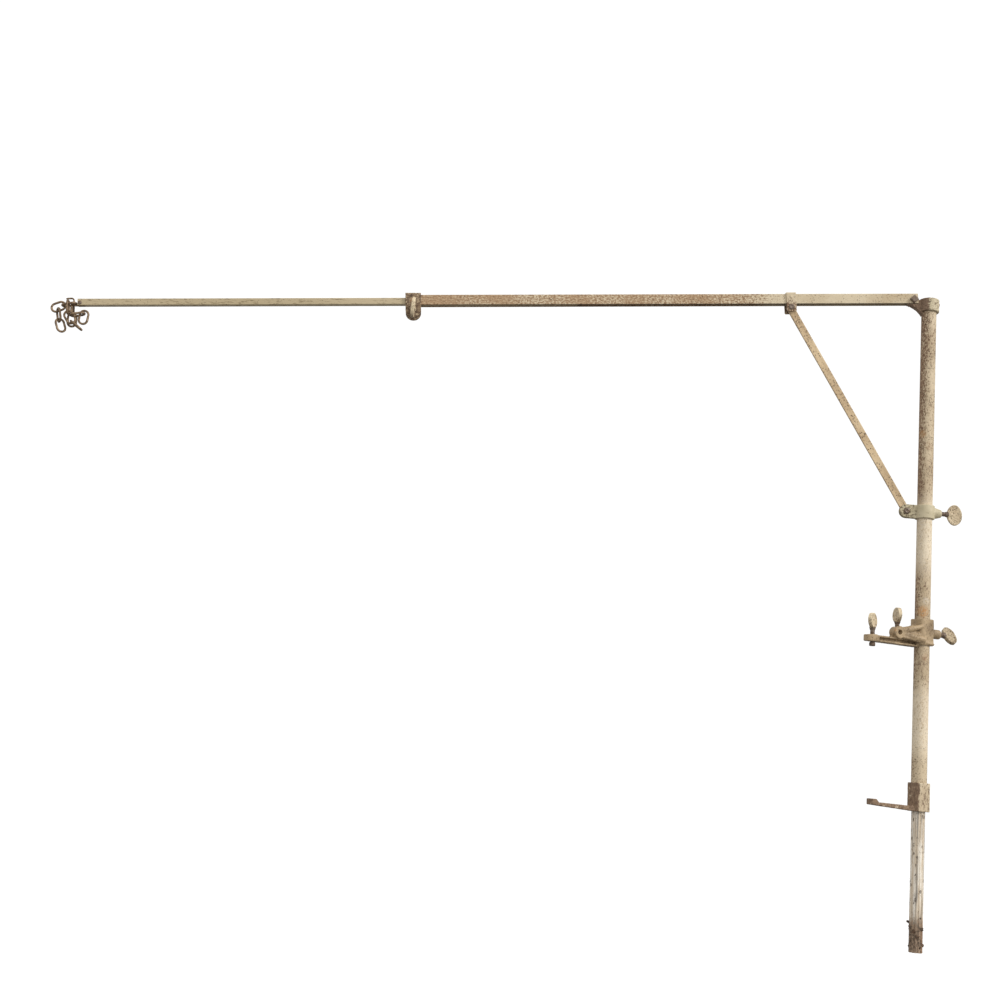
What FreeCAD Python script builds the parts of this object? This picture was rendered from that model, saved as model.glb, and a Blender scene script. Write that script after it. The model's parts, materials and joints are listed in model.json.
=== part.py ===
"""Clamp-on telescopic jib arm: a tube post, a two-piece boom, a folding brace and a rail clamp.

Millimetres, +Z up. The origin is on the post's axis, level with the gripping face of the foot
jaw. The boom runs towards -X in the XZ plane. The two rail jaws are turned towards -Y by
JAW_YAW. Each sub-part is one STEP file in parts/.
"""
import FreeCAD, Part
import math
import os
from FreeCAD import Vector

# --- fits and clearances ---------------------------------------------------------------
SLIDE_GAP = 0.3          # between bodies that slide or swing past each other
RUN_GAP = 0.08           # radial, a shaft or screw in its hole
ROOT_SINK = 0.6          # how far a fused lug or boss starts inside its parent

# --- post and inner leg ----------------------------------------------------------------
POST_R = 12.7
POST_WALL = 1.5
POST_BOTTOM = -12.0
LEG_WALL = 2.0
LEG_BOTTOM = -237.0
LEG_TOP = 318.0
FLUTE_R = 1.1
FLUTE_COUNT = 12
LEG_HOLE_R = 1.9
LEG_HOLE_RISES = (8.0, 54.0)       # above the leg's end

# --- top bracket and boom pivot --------------------------------------------------------
PIVOT_OUT = 12.0         # pivot beyond the cup's wall
PIVOT_Z = 856.0
CUP_WALL = 4.3
CUP_BOTTOM = 836.5
CUP_TOP = 859.5
CUP_LID = 3.0
CUP_RIM = 2.0
LUG_R = 7.0
WEB_FOOT = 829.0
PIN_R = 2.5
PIN_HEAD_R = 3.75
PIN_HEAD_T = 1.4
CUP_EDGE = 2.0
CROWN_DROP = 2.0         # web's top corner below the cup's top
SADDLE_OUT = 3.0         # dip in the web's top, past the lug
SADDLE_RISE = 1.0
BELLY_OUT = 11.8         # middle of the web's lower curve, from the post's side
BELLY_RISE = 12.5
TONGUE_OUT = 11.0        # web's far corner past the pivot
TONGUE_DROP = 8.4
PIN_Z = 851.5
BOLT_R = 4.0
BOLT_HEAD = 11.0
BOLT_HEAD_T = 5.0
BOLT_END = 3.0
BOLT_TURN = 45.0
HEAD_CHAMFER = 0.8
NUT_TURN = 20.0
NUT_CHAMFER = 0.9
NUT_T = 6.5
WASHER_R = 8.0
WASHER_T = 1.6

# --- outer arm, a lipped channel -------------------------------------------------------
DROOP = 5.3              # degrees below level
ARM_W = 15.0
ARM_H = 18.0
ARM_WALL = 1.5
ARM_LIP = 2.6            # how far each bottom lip turns in, from the outside
ARM_RISE = 2.0           # channel centre above the pivot
ARM_HEEL = 7.5           # channel end past the pivot
ARM_LENGTH = 890.0       # channel end to channel end
ARM_EDGE = 1.2
HEEL_SLOT = 15.0         # open bottom past the lug, so that the lug can turn

# --- boom, a box section inside the arm, its bottom open under the tip pin --------------
BOOM_HEADROOM = 3.2      # more room above the boom than a sliding fit
BOOM_WALL = 1.5
BOOM_EDGE = 1.0
BOOM_REACH = 1437.0      # pivot to boom tip
BOOM_LENGTH = 850.0
HEEL_BLOCK = 26.0
HEEL_RIVET_R = 2.0
HEEL_RIVET_SPACING = 14.0
HEEL_NOSE = 8.0
TIP_PIN_R = 2.1
TIP_PIN_HEAD_R = 3.5
TIP_PIN_HEAD_T = 1.8
TIP_PIN_IN = 4.0         # pin centre to boom tip
TIP_SLOT = 12.0          # open bottom, for the hook's eye

# --- end clamp on the arm's mouth ------------------------------------------------------
END_W = 26.5
END_WALL = 3.0
END_SCREW_DROP = 18.8    # below the channel's centre
END_NUT_SIDE = 13.0
END_SCREW_TAIL = 2.0     # screw past its nut
END_NECK = 3.0
END_SPIN = 78.0
SADDLE_EDGE = 2.0

# --- strap hanger and brace ------------------------------------------------------------
HANGER_X = 216.0         # from the pivot, along the arm
HANGER_W = 17.0
HANGER_T = 2.3
HANGER_PIN_DROP = 15.0   # below the channel's centre
HANGER_DROP = 23.0
HANGER_CORNER = 2.5
STRAP_RIVET_R = 2.0
STRAP_RIVET_RISE = 2.5
STRAP_RIVET_PROUD = 0.8
HANGER_EDGE = 2.0
SPACER_WALL = 2.0
RIVET_TAPER = 0.7        # rivet head's top against the rivet's own radius
RIVET_R = 4.0
RIVET_HEAD_R = 5.6
RIVET_HEAD_T = 2.4
BRACE_W = 12.7
BRACE_T = 4.0
BRACE_OUT = 15.6         # lower brace pin beyond the band
BRACE_FOOT_Z = 482.0

# --- ring clamp ------------------------------------------------------------------------
RING_H = 23.0
RING_WALL = 3.4
EAR_T = 2.6
EAR_RIVET_HEAD_R = 5.8
RING_BOSS_R = 6.3
RING_BOSS_OUT = 11.6     # boss beyond the band
RING_BOSS_SINK = 4.0
EAR_ROOT = 2.0           # the ears' gap stops this far inside the bore
SCREW_TIP_GAP = 0.4      # lock screws stop this short of the tube's running gap
LOCK_STAND = 7.0         # lock screw's collar beyond its boss
LOCK_NECK = 4.0
RING_SPIN = 4.0

# --- thumbscrews -----------------------------------------------------------------------
SCREW_R = 4.0
SPADE_ACROSS = 35.0
SPADE_ALONG = 25.0
SPADE_T = 6.0
SPADE_ROUND = 2.0
SCREW_NECK_R = 5.6

# --- rail clamp: jaw body --------------------------------------------------------------
JAW_YAW = 22.0
JAW_WALL = 2.5
JAW_CORNER = 8.0
JAW_BOTTOM = 256.0
JAW_HEIGHT = 44.0
JAW_BOSS_R = 8.0
JAW_BOSS_OUT = 19.5      # boss beyond the block's side
JAW_BOSS_SINK = 2.0
JAW_LOCK_SPIN = 140.0
JAW_ARM_REACH = 118.0
JAW_ARM_W = 17.0
JAW_ARM_T = 10.5
JAW_ARM_BOTTOM = 252.5
JAW_ARM_RIB = 6.0
JAW_ARM_RIM = 3.0        # flanges above and below the arm's side grooves
JAW_ARM_SINK = 4.0       # arm root inside the block
JAW_GROOVE_GAP = 2.0     # grooves stop this far from the block
NECK_SOCKET_R = 7.0
NECK_ROOT_R = 10.8
NECK_SINK = 3.0
NECK_DROP = 0.5          # neck below the socket's axis
NECK_BACK = 2.0          # neck's root in front of the jaw's middle plane
NECK_RISE = 11.0         # neck's root above the block's bottom
WEB_RISE = 2.0           # web's low corner above the block's bottom
WEB_OUT = 14.0           # web's far corner past the socket
WEB_TOP = 4.0            # web's top corner in from the socket's axis, and above it
WEB_SHOULDER = 8.0       # web's root below the block's top
SEAT_RISE = 1.0          # round seat above the arm for the clamp screw
SOCKET_U = 56.0
SOCKET_Z = 272.0
SOCKET_R = 10.0
SOCKET_BORE_R = 4.0
SOCKET_BACK = -4.0
SOCKET_FRONT = 13.0
SOCKET_SCREW_SINK = 0.6  # screw hole's end inside the bore's wall
SOCKET_SCREW_CLEAR = 1.4
SOCKET_SCREW_STAND = 4.0
SOCKET_NECK = 3.0
SOCKET_SPIN = 64.0
CLAMP_U = 102.5
CLAMP_FOOT_R = 5.0
CLAMP_FOOT_T = 6.0
CLAMP_FOOT_TOP_GAP = 1.5
CLAMP_TIP_R = 2.5
CLAMP_STAND = 7.0        # screw collar above the jaw arm
CLAMP_NECK = 4.0
CLAMP_SPIN = 40.0
CLAMP_FOOT_EDGE = 1.0

# --- foot bracket, the fixed jaw -------------------------------------------------------
FOOT_WALL = 2.0
FOOT_CORNER = 7.5
FOOT_BOTTOM = -15.0
FOOT_TOP = 31.0
BLADE_W = 16.0
BLADE_ROOT_T = 8.0
BLADE_TIP_T = 4.5
BLADE_TIP_U = 99.0
LIP_U = 95.0
LIP_TOP_L = 8.0
LIP_RISE = 5.0
FOOT_RIVET_R = 2.5
FOOT_RIVET_PROUD = 1.2
FOOT_RIVET_LOW = 13.8    # above the collar's bottom
FOOT_RIVET_HIGH = 9.0    # below the collar's top
BLADE_SINK = 3.0         # blade root inside the collar

# --- hook and chain --------------------------------------------------------------------
WIRE_R = 1.5
EYE_SLACK = 0.15         # radial, tip pin in the hook's eye
HOOK_SHANK = 7.4
HOOK_STEM = 5.0
HOOK_BEND_R = 4.0
HOOK_BEAK = 4.5
HOOK_TIP_BEND_R = 9.0
HOOK_TIP_TURN = 30.0
LINK_WIRE_R = 1.9
LINK_LENGTH = 27.0
LINK_WIDTH = 18.0
LINK_SLACK = 0.8
FRONT_ALONG = 0.2       # where strands hang, along the link that carries them
BACK_ALONG = -4.0
SIDE_ALONG = 2.5
SPUR_ALONG = -0.4

# --- derived sizes ---------------------------------------------------------------------
LEG_R = POST_R - POST_WALL - SLIDE_GAP
PIVOT_X = -POST_R - CUP_WALL - PIVOT_OUT
BOOM_H = ARM_H - 2 * ARM_WALL - SLIDE_GAP - BOOM_HEADROOM
BOOM_W = ARM_W - 2 * ARM_WALL - 2 * SLIDE_GAP
BOOM_BOTTOM = -ARM_H / 2 + ARM_WALL + SLIDE_GAP          # from the channel's centre
BOOM_TOP = BOOM_BOTTOM + BOOM_H
BOOM_INNER_W = BOOM_W - 2 * BOOM_WALL
LUG_T = ARM_W - 2 * ARM_WALL - 2 * SLIDE_GAP
RING_R_IN = POST_R + SLIDE_GAP
RING_R_OUT = RING_R_IN + RING_WALL
EAR_IN = BRACE_T / 2 + SLIDE_GAP
EAR_OUT = EAR_IN + EAR_T
BRACE_FOOT_X = -RING_R_OUT - BRACE_OUT
RING_BOSS_END = RING_R_OUT + RING_BOSS_OUT
SCREW_HOLE_R = SCREW_R + RUN_GAP
HOOK_EYE_R = TIP_PIN_R + WIRE_R + EYE_SLACK
TIP_PIN_Z = BOOM_TOP - BOOM_WALL - SLIDE_GAP - HOOK_EYE_R - WIRE_R
TIP_PIN_X = -BOOM_REACH + TIP_PIN_IN
END_CENTRE = -ARM_LENGTH + ARM_HEEL + END_W / 2
JAW_SIDE = 2 * (POST_R + SLIDE_GAP + JAW_WALL)
JAW_BOSS_END = JAW_SIDE / 2 + JAW_BOSS_OUT
FOOT_SIDE = 2 * (POST_R + FOOT_WALL)
JAW_SCREW_Z = JAW_BOTTOM + JAW_HEIGHT / 2
JAW_ARM_TOP = JAW_ARM_BOTTOM + JAW_ARM_T
BLADE_TIP_BOTTOM = -LIP_RISE - BLADE_TIP_T

X = Vector(1, 0, 0)
Y = Vector(0, 1, 0)
Z = Vector(0, 0, 1)
ORIGIN = Vector(0, 0, 0)


# --- small helpers ---------------------------------------------------------------------
def rod(radius, start, end):
    """A round bar between two points."""
    run = end.sub(start)
    return Part.makeCylinder(radius, run.Length, start, run)


def block(x_range, y_range, z_range):
    """A box given by its low and high coordinates."""
    low = Vector(x_range[0], y_range[0], z_range[0])
    size = [high - start for start, high in (x_range, y_range, z_range)]
    return Part.makeBox(size[0], size[1], size[2], low)


def union(first, *others):
    """Fuse solids and drop the seams between them."""
    return first.fuse(list(others)).removeSplitter()


def rounded_square(side, corner, bottom, height):
    """A square prism about the Z axis with rounded upright edges."""
    half = side / 2
    solid = block((-half, half), (-half, half), (bottom, bottom + height))
    upright = [edge for edge in solid.Edges if abs(edge.tangentAt(edge.FirstParameter).z) > 0.9]
    return solid.makeFillet(corner, upright)


def plate_xz(points, thickness):
    """A flat plate in the XZ plane, centred on Y, from its corner points."""
    ring = [Vector(x, -thickness / 2, z) for x, z in points]
    wire = Part.makePolygon(ring + ring[:1])
    return Part.Face(wire).extrude(Vector(0, thickness, 0))


def stadium_xz(start, end, width, thickness):
    """A flat bar in the XZ plane with round ends centred on two points."""
    run = end.sub(start)
    across = Vector(-run.z, 0, run.x).normalize().multiply(width / 2)
    corners = [start.add(across), end.add(across), end.sub(across), start.sub(across)]
    bar = plate_xz([(point.x, point.z) for point in corners], thickness)
    half = Vector(0, thickness / 2, 0)
    ends = [rod(width / 2, point.sub(half), point.add(half)) for point in (start, end)]
    return union(bar, *ends)


def wire_pipe(edges, radius):
    """A round wire swept along tangent edges."""
    path = Part.Wire(Part.__sortEdges__(edges))
    first = path.OrderedEdges[0]
    start = first.valueAt(first.FirstParameter)
    heading = first.tangentAt(first.FirstParameter)
    section = Part.Wire([Part.makeCircle(radius, start, heading)])
    return path.makePipeShell([section], True, False)


def in_arm_frame(shape):
    """Move a shape from the arm's own frame (pivot at 0, arm level) to its place."""
    shape.rotate(ORIGIN, Y, -DROOP)
    shape.translate(Vector(PIVOT_X, 0, PIVOT_Z))
    return shape


def arm_point(x, z):
    """Where a point of the arm's own XZ plane lies in the part's frame."""
    turn = math.radians(DROOP)
    return Vector(
        PIVOT_X + x * math.cos(turn) - z * math.sin(turn),
        0,
        PIVOT_Z + x * math.sin(turn) + z * math.cos(turn),
    )


def in_jaw_frame(shape):
    """Turn a shape modelled with its jaw towards -X to the jaws' true heading."""
    shape.rotate(ORIGIN, Z, JAW_YAW)
    return shape


def save(name, shape):
    """Write one node."""
    shape.exportStep("parts/" + name + ".step")


# --- thumbscrew ------------------------------------------------------------------------
def thumbscrew(shank, neck, *tips):
    """A cast thumbscrew with its tip at 0, pointing up Z, and its oval spade across X."""
    base = shank + neck
    centre = base + SPADE_ALONG / 2 - ROOT_SINK
    oval = Part.Ellipse(ORIGIN, SPADE_ACROSS / 2, SPADE_ALONG / 2)
    spade = Part.Face(Part.Wire([oval.toShape()])).extrude(Vector(0, 0, SPADE_T))
    spade = spade.makeFillet(SPADE_ROUND, spade.Edges)
    spade.translate(Vector(0, 0, -SPADE_T / 2))
    spade.rotate(ORIGIN, X, 90)
    spade.translate(Vector(0, 0, centre))
    collar = Part.makeCone(SCREW_R, SCREW_NECK_R, neck, Vector(0, 0, shank))
    root = Part.makeCone(SCREW_NECK_R, SPADE_T / 2, SPADE_ALONG / 3, Vector(0, 0, base))
    bar = rod(SCREW_R, ORIGIN, Vector(0, 0, shank))
    return union(bar, collar, root, spade, *tips)


def aim(screw, tip, heading, spin):
    """Spin a thumbscrew about itself, then lay it from its tip along a heading."""
    screw.rotate(ORIGIN, Z, spin)
    turn = FreeCAD.Rotation(Z, heading)
    screw.Placement = FreeCAD.Placement(tip, turn).multiply(screw.Placement)
    return screw


# --- post, leg and foot bracket --------------------------------------------------------
def post_tube():
    top = CUP_TOP - CUP_LID
    outer = rod(POST_R, Vector(0, 0, POST_BOTTOM), Vector(0, 0, top))
    bore = rod(POST_R - POST_WALL, Vector(0, 0, POST_BOTTOM), Vector(0, 0, top))
    tube = outer.cut(bore)
    return tube.cut([bracket_pin_bar(), foot_rivet_bars()])


def inner_leg():
    low = Vector(0, 0, LEG_BOTTOM)
    high = Vector(0, 0, LEG_TOP)
    tube = rod(LEG_R, low, high).cut(rod(LEG_R - LEG_WALL, low, high))
    cuts = []
    for step in range(FLUTE_COUNT):
        angle = 2 * math.pi * step / FLUTE_COUNT
        offset = Vector(LEG_R * math.cos(angle), LEG_R * math.sin(angle), 0)
        cuts.append(rod(FLUTE_R, low.add(offset), high.add(offset)))
    reach = 2 * LEG_R
    for rise in LEG_HOLE_RISES:
        height = LEG_BOTTOM + rise
        hole = rod(LEG_HOLE_R, Vector(0, -reach, height), Vector(0, reach, height))
        cuts.append(in_jaw_frame(hole))
    return tube.cut(cuts)


def foot_rivet_bars():
    """Two short rivets behind the collar, flush with the inside of the post."""
    bars = []
    for height in (FOOT_BOTTOM + FOOT_RIVET_LOW, FOOT_TOP - FOOT_RIVET_HIGH):
        start = Vector(0, POST_R - POST_WALL, height)
        end = Vector(0, FOOT_SIDE / 2 + FOOT_RIVET_PROUD, height)
        bars.append(in_jaw_frame(rod(FOOT_RIVET_R, start, end)))
    return Part.Compound(bars)


def foot_bracket():
    collar = rounded_square(FOOT_SIDE, FOOT_CORNER, FOOT_BOTTOM, FOOT_TOP - FOOT_BOTTOM)
    root = -FOOT_SIDE / 2 + BLADE_SINK
    lip_half = LIP_TOP_L / 2
    blade = plate_xz(
        [
            (root, FOOT_BOTTOM),
            (-BLADE_TIP_U, BLADE_TIP_BOTTOM),
            (-LIP_U - lip_half, 0),
            (-LIP_U + lip_half, 0),
            (-LIP_U + lip_half + LIP_RISE, -LIP_RISE),
            (root, FOOT_BOTTOM + BLADE_ROOT_T),
        ],
        BLADE_W,
    )
    body = union(collar, blade)
    bore = rod(POST_R, Vector(0, 0, POST_BOTTOM), Vector(0, 0, FOOT_TOP))
    way = rod(LEG_R + SLIDE_GAP, Vector(0, 0, FOOT_BOTTOM), Vector(0, 0, POST_BOTTOM))
    body = in_jaw_frame(body.cut([bore, way]))
    return body.cut(foot_rivet_bars())


# --- top bracket and its bolt ----------------------------------------------------------
def bracket_pin_bar():
    outside = POST_R + CUP_WALL
    return rod(PIN_R, Vector(-POST_R, 0, PIN_Z), Vector(outside, 0, PIN_Z))


def bracket_pin():
    outside = POST_R + CUP_WALL
    head = Part.makeCone(PIN_HEAD_R, PIN_R, PIN_HEAD_T, Vector(outside, 0, PIN_Z), X)
    return union(bracket_pin_bar(), head)


def top_bracket():
    cup_r = POST_R + CUP_WALL
    cup = rod(cup_r, Vector(0, 0, CUP_BOTTOM), Vector(0, 0, CUP_TOP))
    rim_edges = [edge for edge in cup.Edges if abs(edge.BoundBox.ZMin - CUP_TOP) < 1e-6]
    cup = cup.makeFillet(CUP_EDGE, [edge for edge in rim_edges if edge.Closed])
    pivot = Vector(PIVOT_X, 0, PIVOT_Z)
    half = Vector(0, LUG_T / 2, 0)
    lug = rod(LUG_R, pivot.sub(half), pivot.add(half))
    crown = Vector(-POST_R, 0, CUP_TOP - CROWN_DROP)
    saddle = Vector(PIVOT_X + LUG_R + SADDLE_OUT, 0, PIVOT_Z + SADDLE_RISE)
    top_start = Vector(PIVOT_X, 0, PIVOT_Z + LUG_R - ROOT_SINK)
    low_start = Vector(PIVOT_X - TONGUE_OUT, 0, PIVOT_Z - TONGUE_DROP)
    foot = Vector(-POST_R + ROOT_SINK, 0, WEB_FOOT)
    belly = Vector(-POST_R - BELLY_OUT, 0, WEB_FOOT + BELLY_RISE)
    back = Vector(-POST_R + ROOT_SINK, 0, CUP_TOP - CROWN_DROP)
    edges = [
        Part.Arc(top_start, saddle, crown).toShape(),
        Part.makeLine(crown, back),
        Part.makeLine(back, foot),
        Part.Arc(foot, belly, low_start).toShape(),
        Part.makeLine(low_start, top_start),
    ]
    web = Part.Face(Part.Wire(edges))
    web.translate(half.negative())
    web = web.extrude(half.multiply(2))
    body = union(cup, web, lug)
    low = Vector(0, 0, WEB_FOOT - 1.0)
    bore = rod(POST_R, low, Vector(0, 0, CUP_TOP - CUP_LID))
    flare = Part.makeCone(POST_R + CUP_RIM, POST_R, CUP_RIM, Vector(0, 0, CUP_BOTTOM))
    side = Vector(0, ARM_W, 0)
    eye = rod(BOLT_R, pivot.sub(side), pivot.add(side))
    return body.cut([bore, flare, eye, bracket_pin_bar()])


def pivot_bolt():
    """Square-headed bolt; the arm turns on its shank."""
    face = ARM_W / 2 + SLIDE_GAP
    half = BOLT_HEAD / 2
    head = block((-half, half), (-face - BOLT_HEAD_T, -face), (-half, half))
    head = head.makeChamfer(HEAD_CHAMFER, [e for e in head.Edges if e.BoundBox.YMax < -face - 1.0])
    head.rotate(ORIGIN, Y, BOLT_TURN)
    end = face + WASHER_T + NUT_T + BOLT_END
    shank = rod(BOLT_R, Vector(0, -face, 0), Vector(0, end, 0))
    bolt = union(head, shank)
    bolt.translate(Vector(PIVOT_X, 0, PIVOT_Z))
    return bolt


def pivot_washer():
    face = ARM_W / 2 + SLIDE_GAP
    start = Vector(PIVOT_X, face, PIVOT_Z)
    end = Vector(PIVOT_X, face + WASHER_T, PIVOT_Z)
    return rod(WASHER_R, start, end).cut(rod(BOLT_R, start, end))


def pivot_nut():
    face = ARM_W / 2 + SLIDE_GAP + WASHER_T
    half = BOLT_HEAD / 2
    nut = block((-half, half), (face, face + NUT_T), (-half, half))
    nut = nut.makeChamfer(NUT_CHAMFER, [e for e in nut.Edges if e.BoundBox.YMin > face + 1.0])
    nut = nut.cut(rod(BOLT_R, Vector(0, face, 0), Vector(0, face + NUT_T, 0)))
    nut.rotate(ORIGIN, Y, NUT_TURN)
    nut.translate(Vector(PIVOT_X, 0, PIVOT_Z))
    return nut


# --- outer arm, end clamp and hanger ---------------------------------------------------
def arm_channel():
    """Lipped channel, open at the bottom, in the arm's own frame."""
    low = ARM_RISE - ARM_H / 2
    high = ARM_RISE + ARM_H / 2
    ends = (-ARM_LENGTH + ARM_HEEL, ARM_HEEL)
    half = ARM_W / 2
    body = block(ends, (-half, half), (low, high))
    body = body.makeFillet(ARM_EDGE, [e for e in body.Edges if e.Length > ARM_LENGTH - 1.0])
    inside = half - ARM_WALL
    hollow = block(ends, (-inside, inside), (low + ARM_WALL, high - ARM_WALL))
    mouth = block(ends, (-half + ARM_LIP, half - ARM_LIP), (low - 1.0, low + ARM_WALL))
    heel = block((-LUG_R - HEEL_SLOT, ARM_HEEL), (-inside, inside), (low - 1.0, low + ARM_WALL))
    side = Vector(0, ARM_W, 0)
    eye = rod(BOLT_R + RUN_GAP, side.negative(), side)
    return body.cut([hollow, mouth, heel, eye])


def strap_rivet_bars():
    height = ARM_RISE + STRAP_RIVET_RISE
    bars = []
    for sign in (-1, 1):
        inner = sign * (ARM_W / 2 - ARM_WALL)
        outer = sign * (ARM_W / 2 + HANGER_T + STRAP_RIVET_PROUD)
        start = Vector(-HANGER_X, inner, height)
        end = Vector(-HANGER_X, outer, height)
        bars.append(rod(STRAP_RIVET_R, start, end))
    return Part.Compound(bars)


def outer_arm():
    return in_arm_frame(arm_channel().cut(strap_rivet_bars()))


def strap_rivets():
    return in_arm_frame(strap_rivet_bars())


def strap_hanger():
    half_w = HANGER_W / 2
    xs = (-HANGER_X - half_w, -HANGER_X + half_w)
    out = ARM_W / 2 + HANGER_T
    top = ARM_RISE + ARM_H / 2
    low = ARM_RISE - HANGER_DROP
    shell = block(xs, (-out, out), (low, top + HANGER_T))
    shell = shell.makeFillet(HANGER_EDGE, [
        e for e in shell.Edges
        if e.BoundBox.ZMin > top and abs(e.BoundBox.XLength - HANGER_W) < 0.01
    ])
    shell = shell.makeFillet(HANGER_CORNER, [
        e for e in shell.Edges
        if e.BoundBox.ZMax < low + 0.01 and e.BoundBox.YLength > ARM_W
    ])
    inside = block(xs, (-ARM_W / 2, ARM_W / 2), (low - 1.0, top))
    side = Vector(0, ARM_W, 0)
    pin = Vector(-HANGER_X, 0, ARM_RISE - HANGER_PIN_DROP)
    eye = rod(RIVET_R, pin.sub(side), pin.add(side))
    return in_arm_frame(shell.cut([inside, eye, strap_rivet_bars()]))


def brace_top():
    """The upper brace pin in the arm's own frame."""
    return Vector(-HANGER_X, 0, ARM_RISE - HANGER_PIN_DROP)


def brace_upper_rivet():
    out = ARM_W / 2 + HANGER_T
    pin = brace_top()
    side = Vector(0, out, 0)
    bar = rod(RIVET_R, pin.sub(side), pin.add(side))
    tip_r = RIVET_TAPER * RIVET_R
    heads = [
        Part.makeCone(RIVET_HEAD_R, tip_r, RIVET_HEAD_T, pin.add(side), Y),
        Part.makeCone(RIVET_HEAD_R, tip_r, RIVET_HEAD_T, pin.sub(side), Y.negative()),
    ]
    return in_arm_frame(union(bar, *heads))


def brace_spacers():
    """Two tubes that keep the brace in the middle of the hanger."""
    pin = brace_top()
    tubes = []
    for sign in (-1, 1):
        start = pin.add(Vector(0, sign * (BRACE_T / 2 + SLIDE_GAP), 0))
        end = pin.add(Vector(0, sign * ARM_W / 2, 0))
        tubes.append(rod(RIVET_R + SPACER_WALL, start, end).cut(rod(RIVET_R, start, end)))
    return in_arm_frame(Part.Compound(tubes))


def end_clamp():
    """Saddle over the arm's mouth with two round tongues that the thumbscrew pinches."""
    out = ARM_W / 2 + END_WALL
    top = ARM_RISE + ARM_H / 2
    screw_z = ARM_RISE - END_SCREW_DROP
    half_w = END_W / 2
    xs = (END_CENTRE - half_w, END_CENTRE + half_w)
    saddle = block(xs, (-out, out), (screw_z, top + END_WALL))
    side = Vector(0, out, 0)
    centre = Vector(END_CENTRE, 0, screw_z)
    tongue = rod(half_w, centre.sub(side), centre.add(side))
    body = union(saddle, tongue)
    crown = [e for e in body.Edges if e.BoundBox.ZMin > top and e.BoundBox.XLength > END_W - 1]
    body = body.makeFillet(SADDLE_EDGE, crown)
    inside = block(xs, (-ARM_W / 2, ARM_W / 2), (screw_z - END_W, top))
    eye = rod(SCREW_HOLE_R, centre.sub(side), centre.add(side))
    return in_arm_frame(body.cut([inside, eye]))


def end_clamp_nut():
    out = ARM_W / 2 + END_WALL
    screw_z = ARM_RISE - END_SCREW_DROP
    half = END_NUT_SIDE / 2
    nut = block((-half, half), (out, out + NUT_T), (-half, half))
    nut = nut.makeChamfer(NUT_CHAMFER, [e for e in nut.Edges if e.BoundBox.YMin > out + 1.0])
    nut = nut.cut(rod(SCREW_HOLE_R, Vector(0, out, 0), Vector(0, out + NUT_T, 0)))
    nut.translate(Vector(END_CENTRE, 0, screw_z))
    return in_arm_frame(nut)


def end_clamp_thumbscrew():
    out = ARM_W / 2 + END_WALL
    screw_z = ARM_RISE - END_SCREW_DROP
    tip = Vector(END_CENTRE, out + NUT_T + END_SCREW_TAIL, screw_z)
    shank = 2 * out + NUT_T + END_SCREW_TAIL + SLIDE_GAP
    return in_arm_frame(aim(thumbscrew(shank, END_NECK), tip, Y.negative(), END_SPIN))


# --- boom ------------------------------------------------------------------------------
def boom_x():
    return (-BOOM_REACH, -BOOM_REACH + BOOM_LENGTH)


def heel_rivet_bars():
    end = boom_x()[1] - HEEL_BLOCK / 2
    bars = []
    for offset in (-HEEL_RIVET_SPACING / 2, HEEL_RIVET_SPACING / 2):
        z = ARM_RISE + (BOOM_BOTTOM + BOOM_TOP) / 2
        side = Vector(0, BOOM_W / 2, 0)
        centre = Vector(end + offset, 0, z)
        bars.append(rod(HEEL_RIVET_R, centre.sub(side), centre.add(side)))
    return Part.Compound(bars)


def boom_bar():
    low = ARM_RISE + BOOM_BOTTOM
    high = ARM_RISE + BOOM_TOP
    half = BOOM_W / 2
    body = block(boom_x(), (-half, half), (low, high))
    body = body.makeFillet(BOOM_EDGE, [
        e for e in body.Edges if e.Length > BOOM_LENGTH - 1.0
    ])
    inside = BOOM_INNER_W / 2
    hollow = block(boom_x(), (-inside, inside), (low + BOOM_WALL, high - BOOM_WALL))
    tip = boom_x()[0]
    slot = block((tip, tip + TIP_SLOT), (-inside, inside), (low, low + BOOM_WALL))
    side = Vector(0, BOOM_W, 0)
    pin = Vector(TIP_PIN_X, 0, ARM_RISE + TIP_PIN_Z)
    eye = rod(TIP_PIN_R, pin.sub(side), pin.add(side))
    return in_arm_frame(body.cut([hollow, slot, eye, heel_rivet_bars()]))


def boom_heel_block():
    """Block riveted into the boom's inner end; its back rides under the channel's roof."""
    low = ARM_RISE + BOOM_BOTTOM
    roof = ARM_RISE + BOOM_TOP - BOOM_WALL
    end = boom_x()[1]
    inside = BOOM_INNER_W / 2
    core = block((end - HEEL_BLOCK, end), (-inside, inside), (low + BOOM_WALL, roof))
    half = BOOM_W / 2
    crest = ARM_RISE + ARM_H / 2 - ARM_WALL - SLIDE_GAP
    nose = block((end, end + HEEL_NOSE), (-half, half), (low, crest))
    core = core.cut(heel_rivet_bars())
    return in_arm_frame(union(core, nose))


def heel_rivets():
    return in_arm_frame(heel_rivet_bars())


def tip_pin():
    pin = Vector(TIP_PIN_X, 0, ARM_RISE + TIP_PIN_Z)
    side = Vector(0, BOOM_W / 2, 0)
    bar = rod(TIP_PIN_R, pin.sub(side), pin.add(side))
    heads = []
    for sign in (-1, 1):
        base = pin.add(Vector(0, sign * BOOM_W / 2, 0))
        heading = Vector(0, sign, 0)
        heads.append(
            Part.makeCone(TIP_PIN_HEAD_R, TIP_PIN_R, TIP_PIN_HEAD_T, base, heading)
        )
    return in_arm_frame(union(bar, *heads))


# --- brace and ring clamp --------------------------------------------------------------
def brace_bar():
    top = arm_point(-HANGER_X, ARM_RISE - HANGER_PIN_DROP)
    foot = Vector(BRACE_FOOT_X, 0, BRACE_FOOT_Z)
    bar = stadium_xz(top, foot, BRACE_W, BRACE_T)
    side = Vector(0, BRACE_T, 0)
    holes = [rod(RIVET_R + RUN_GAP, p.sub(side), p.add(side)) for p in (top, foot)]
    return bar.cut(holes)


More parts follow.
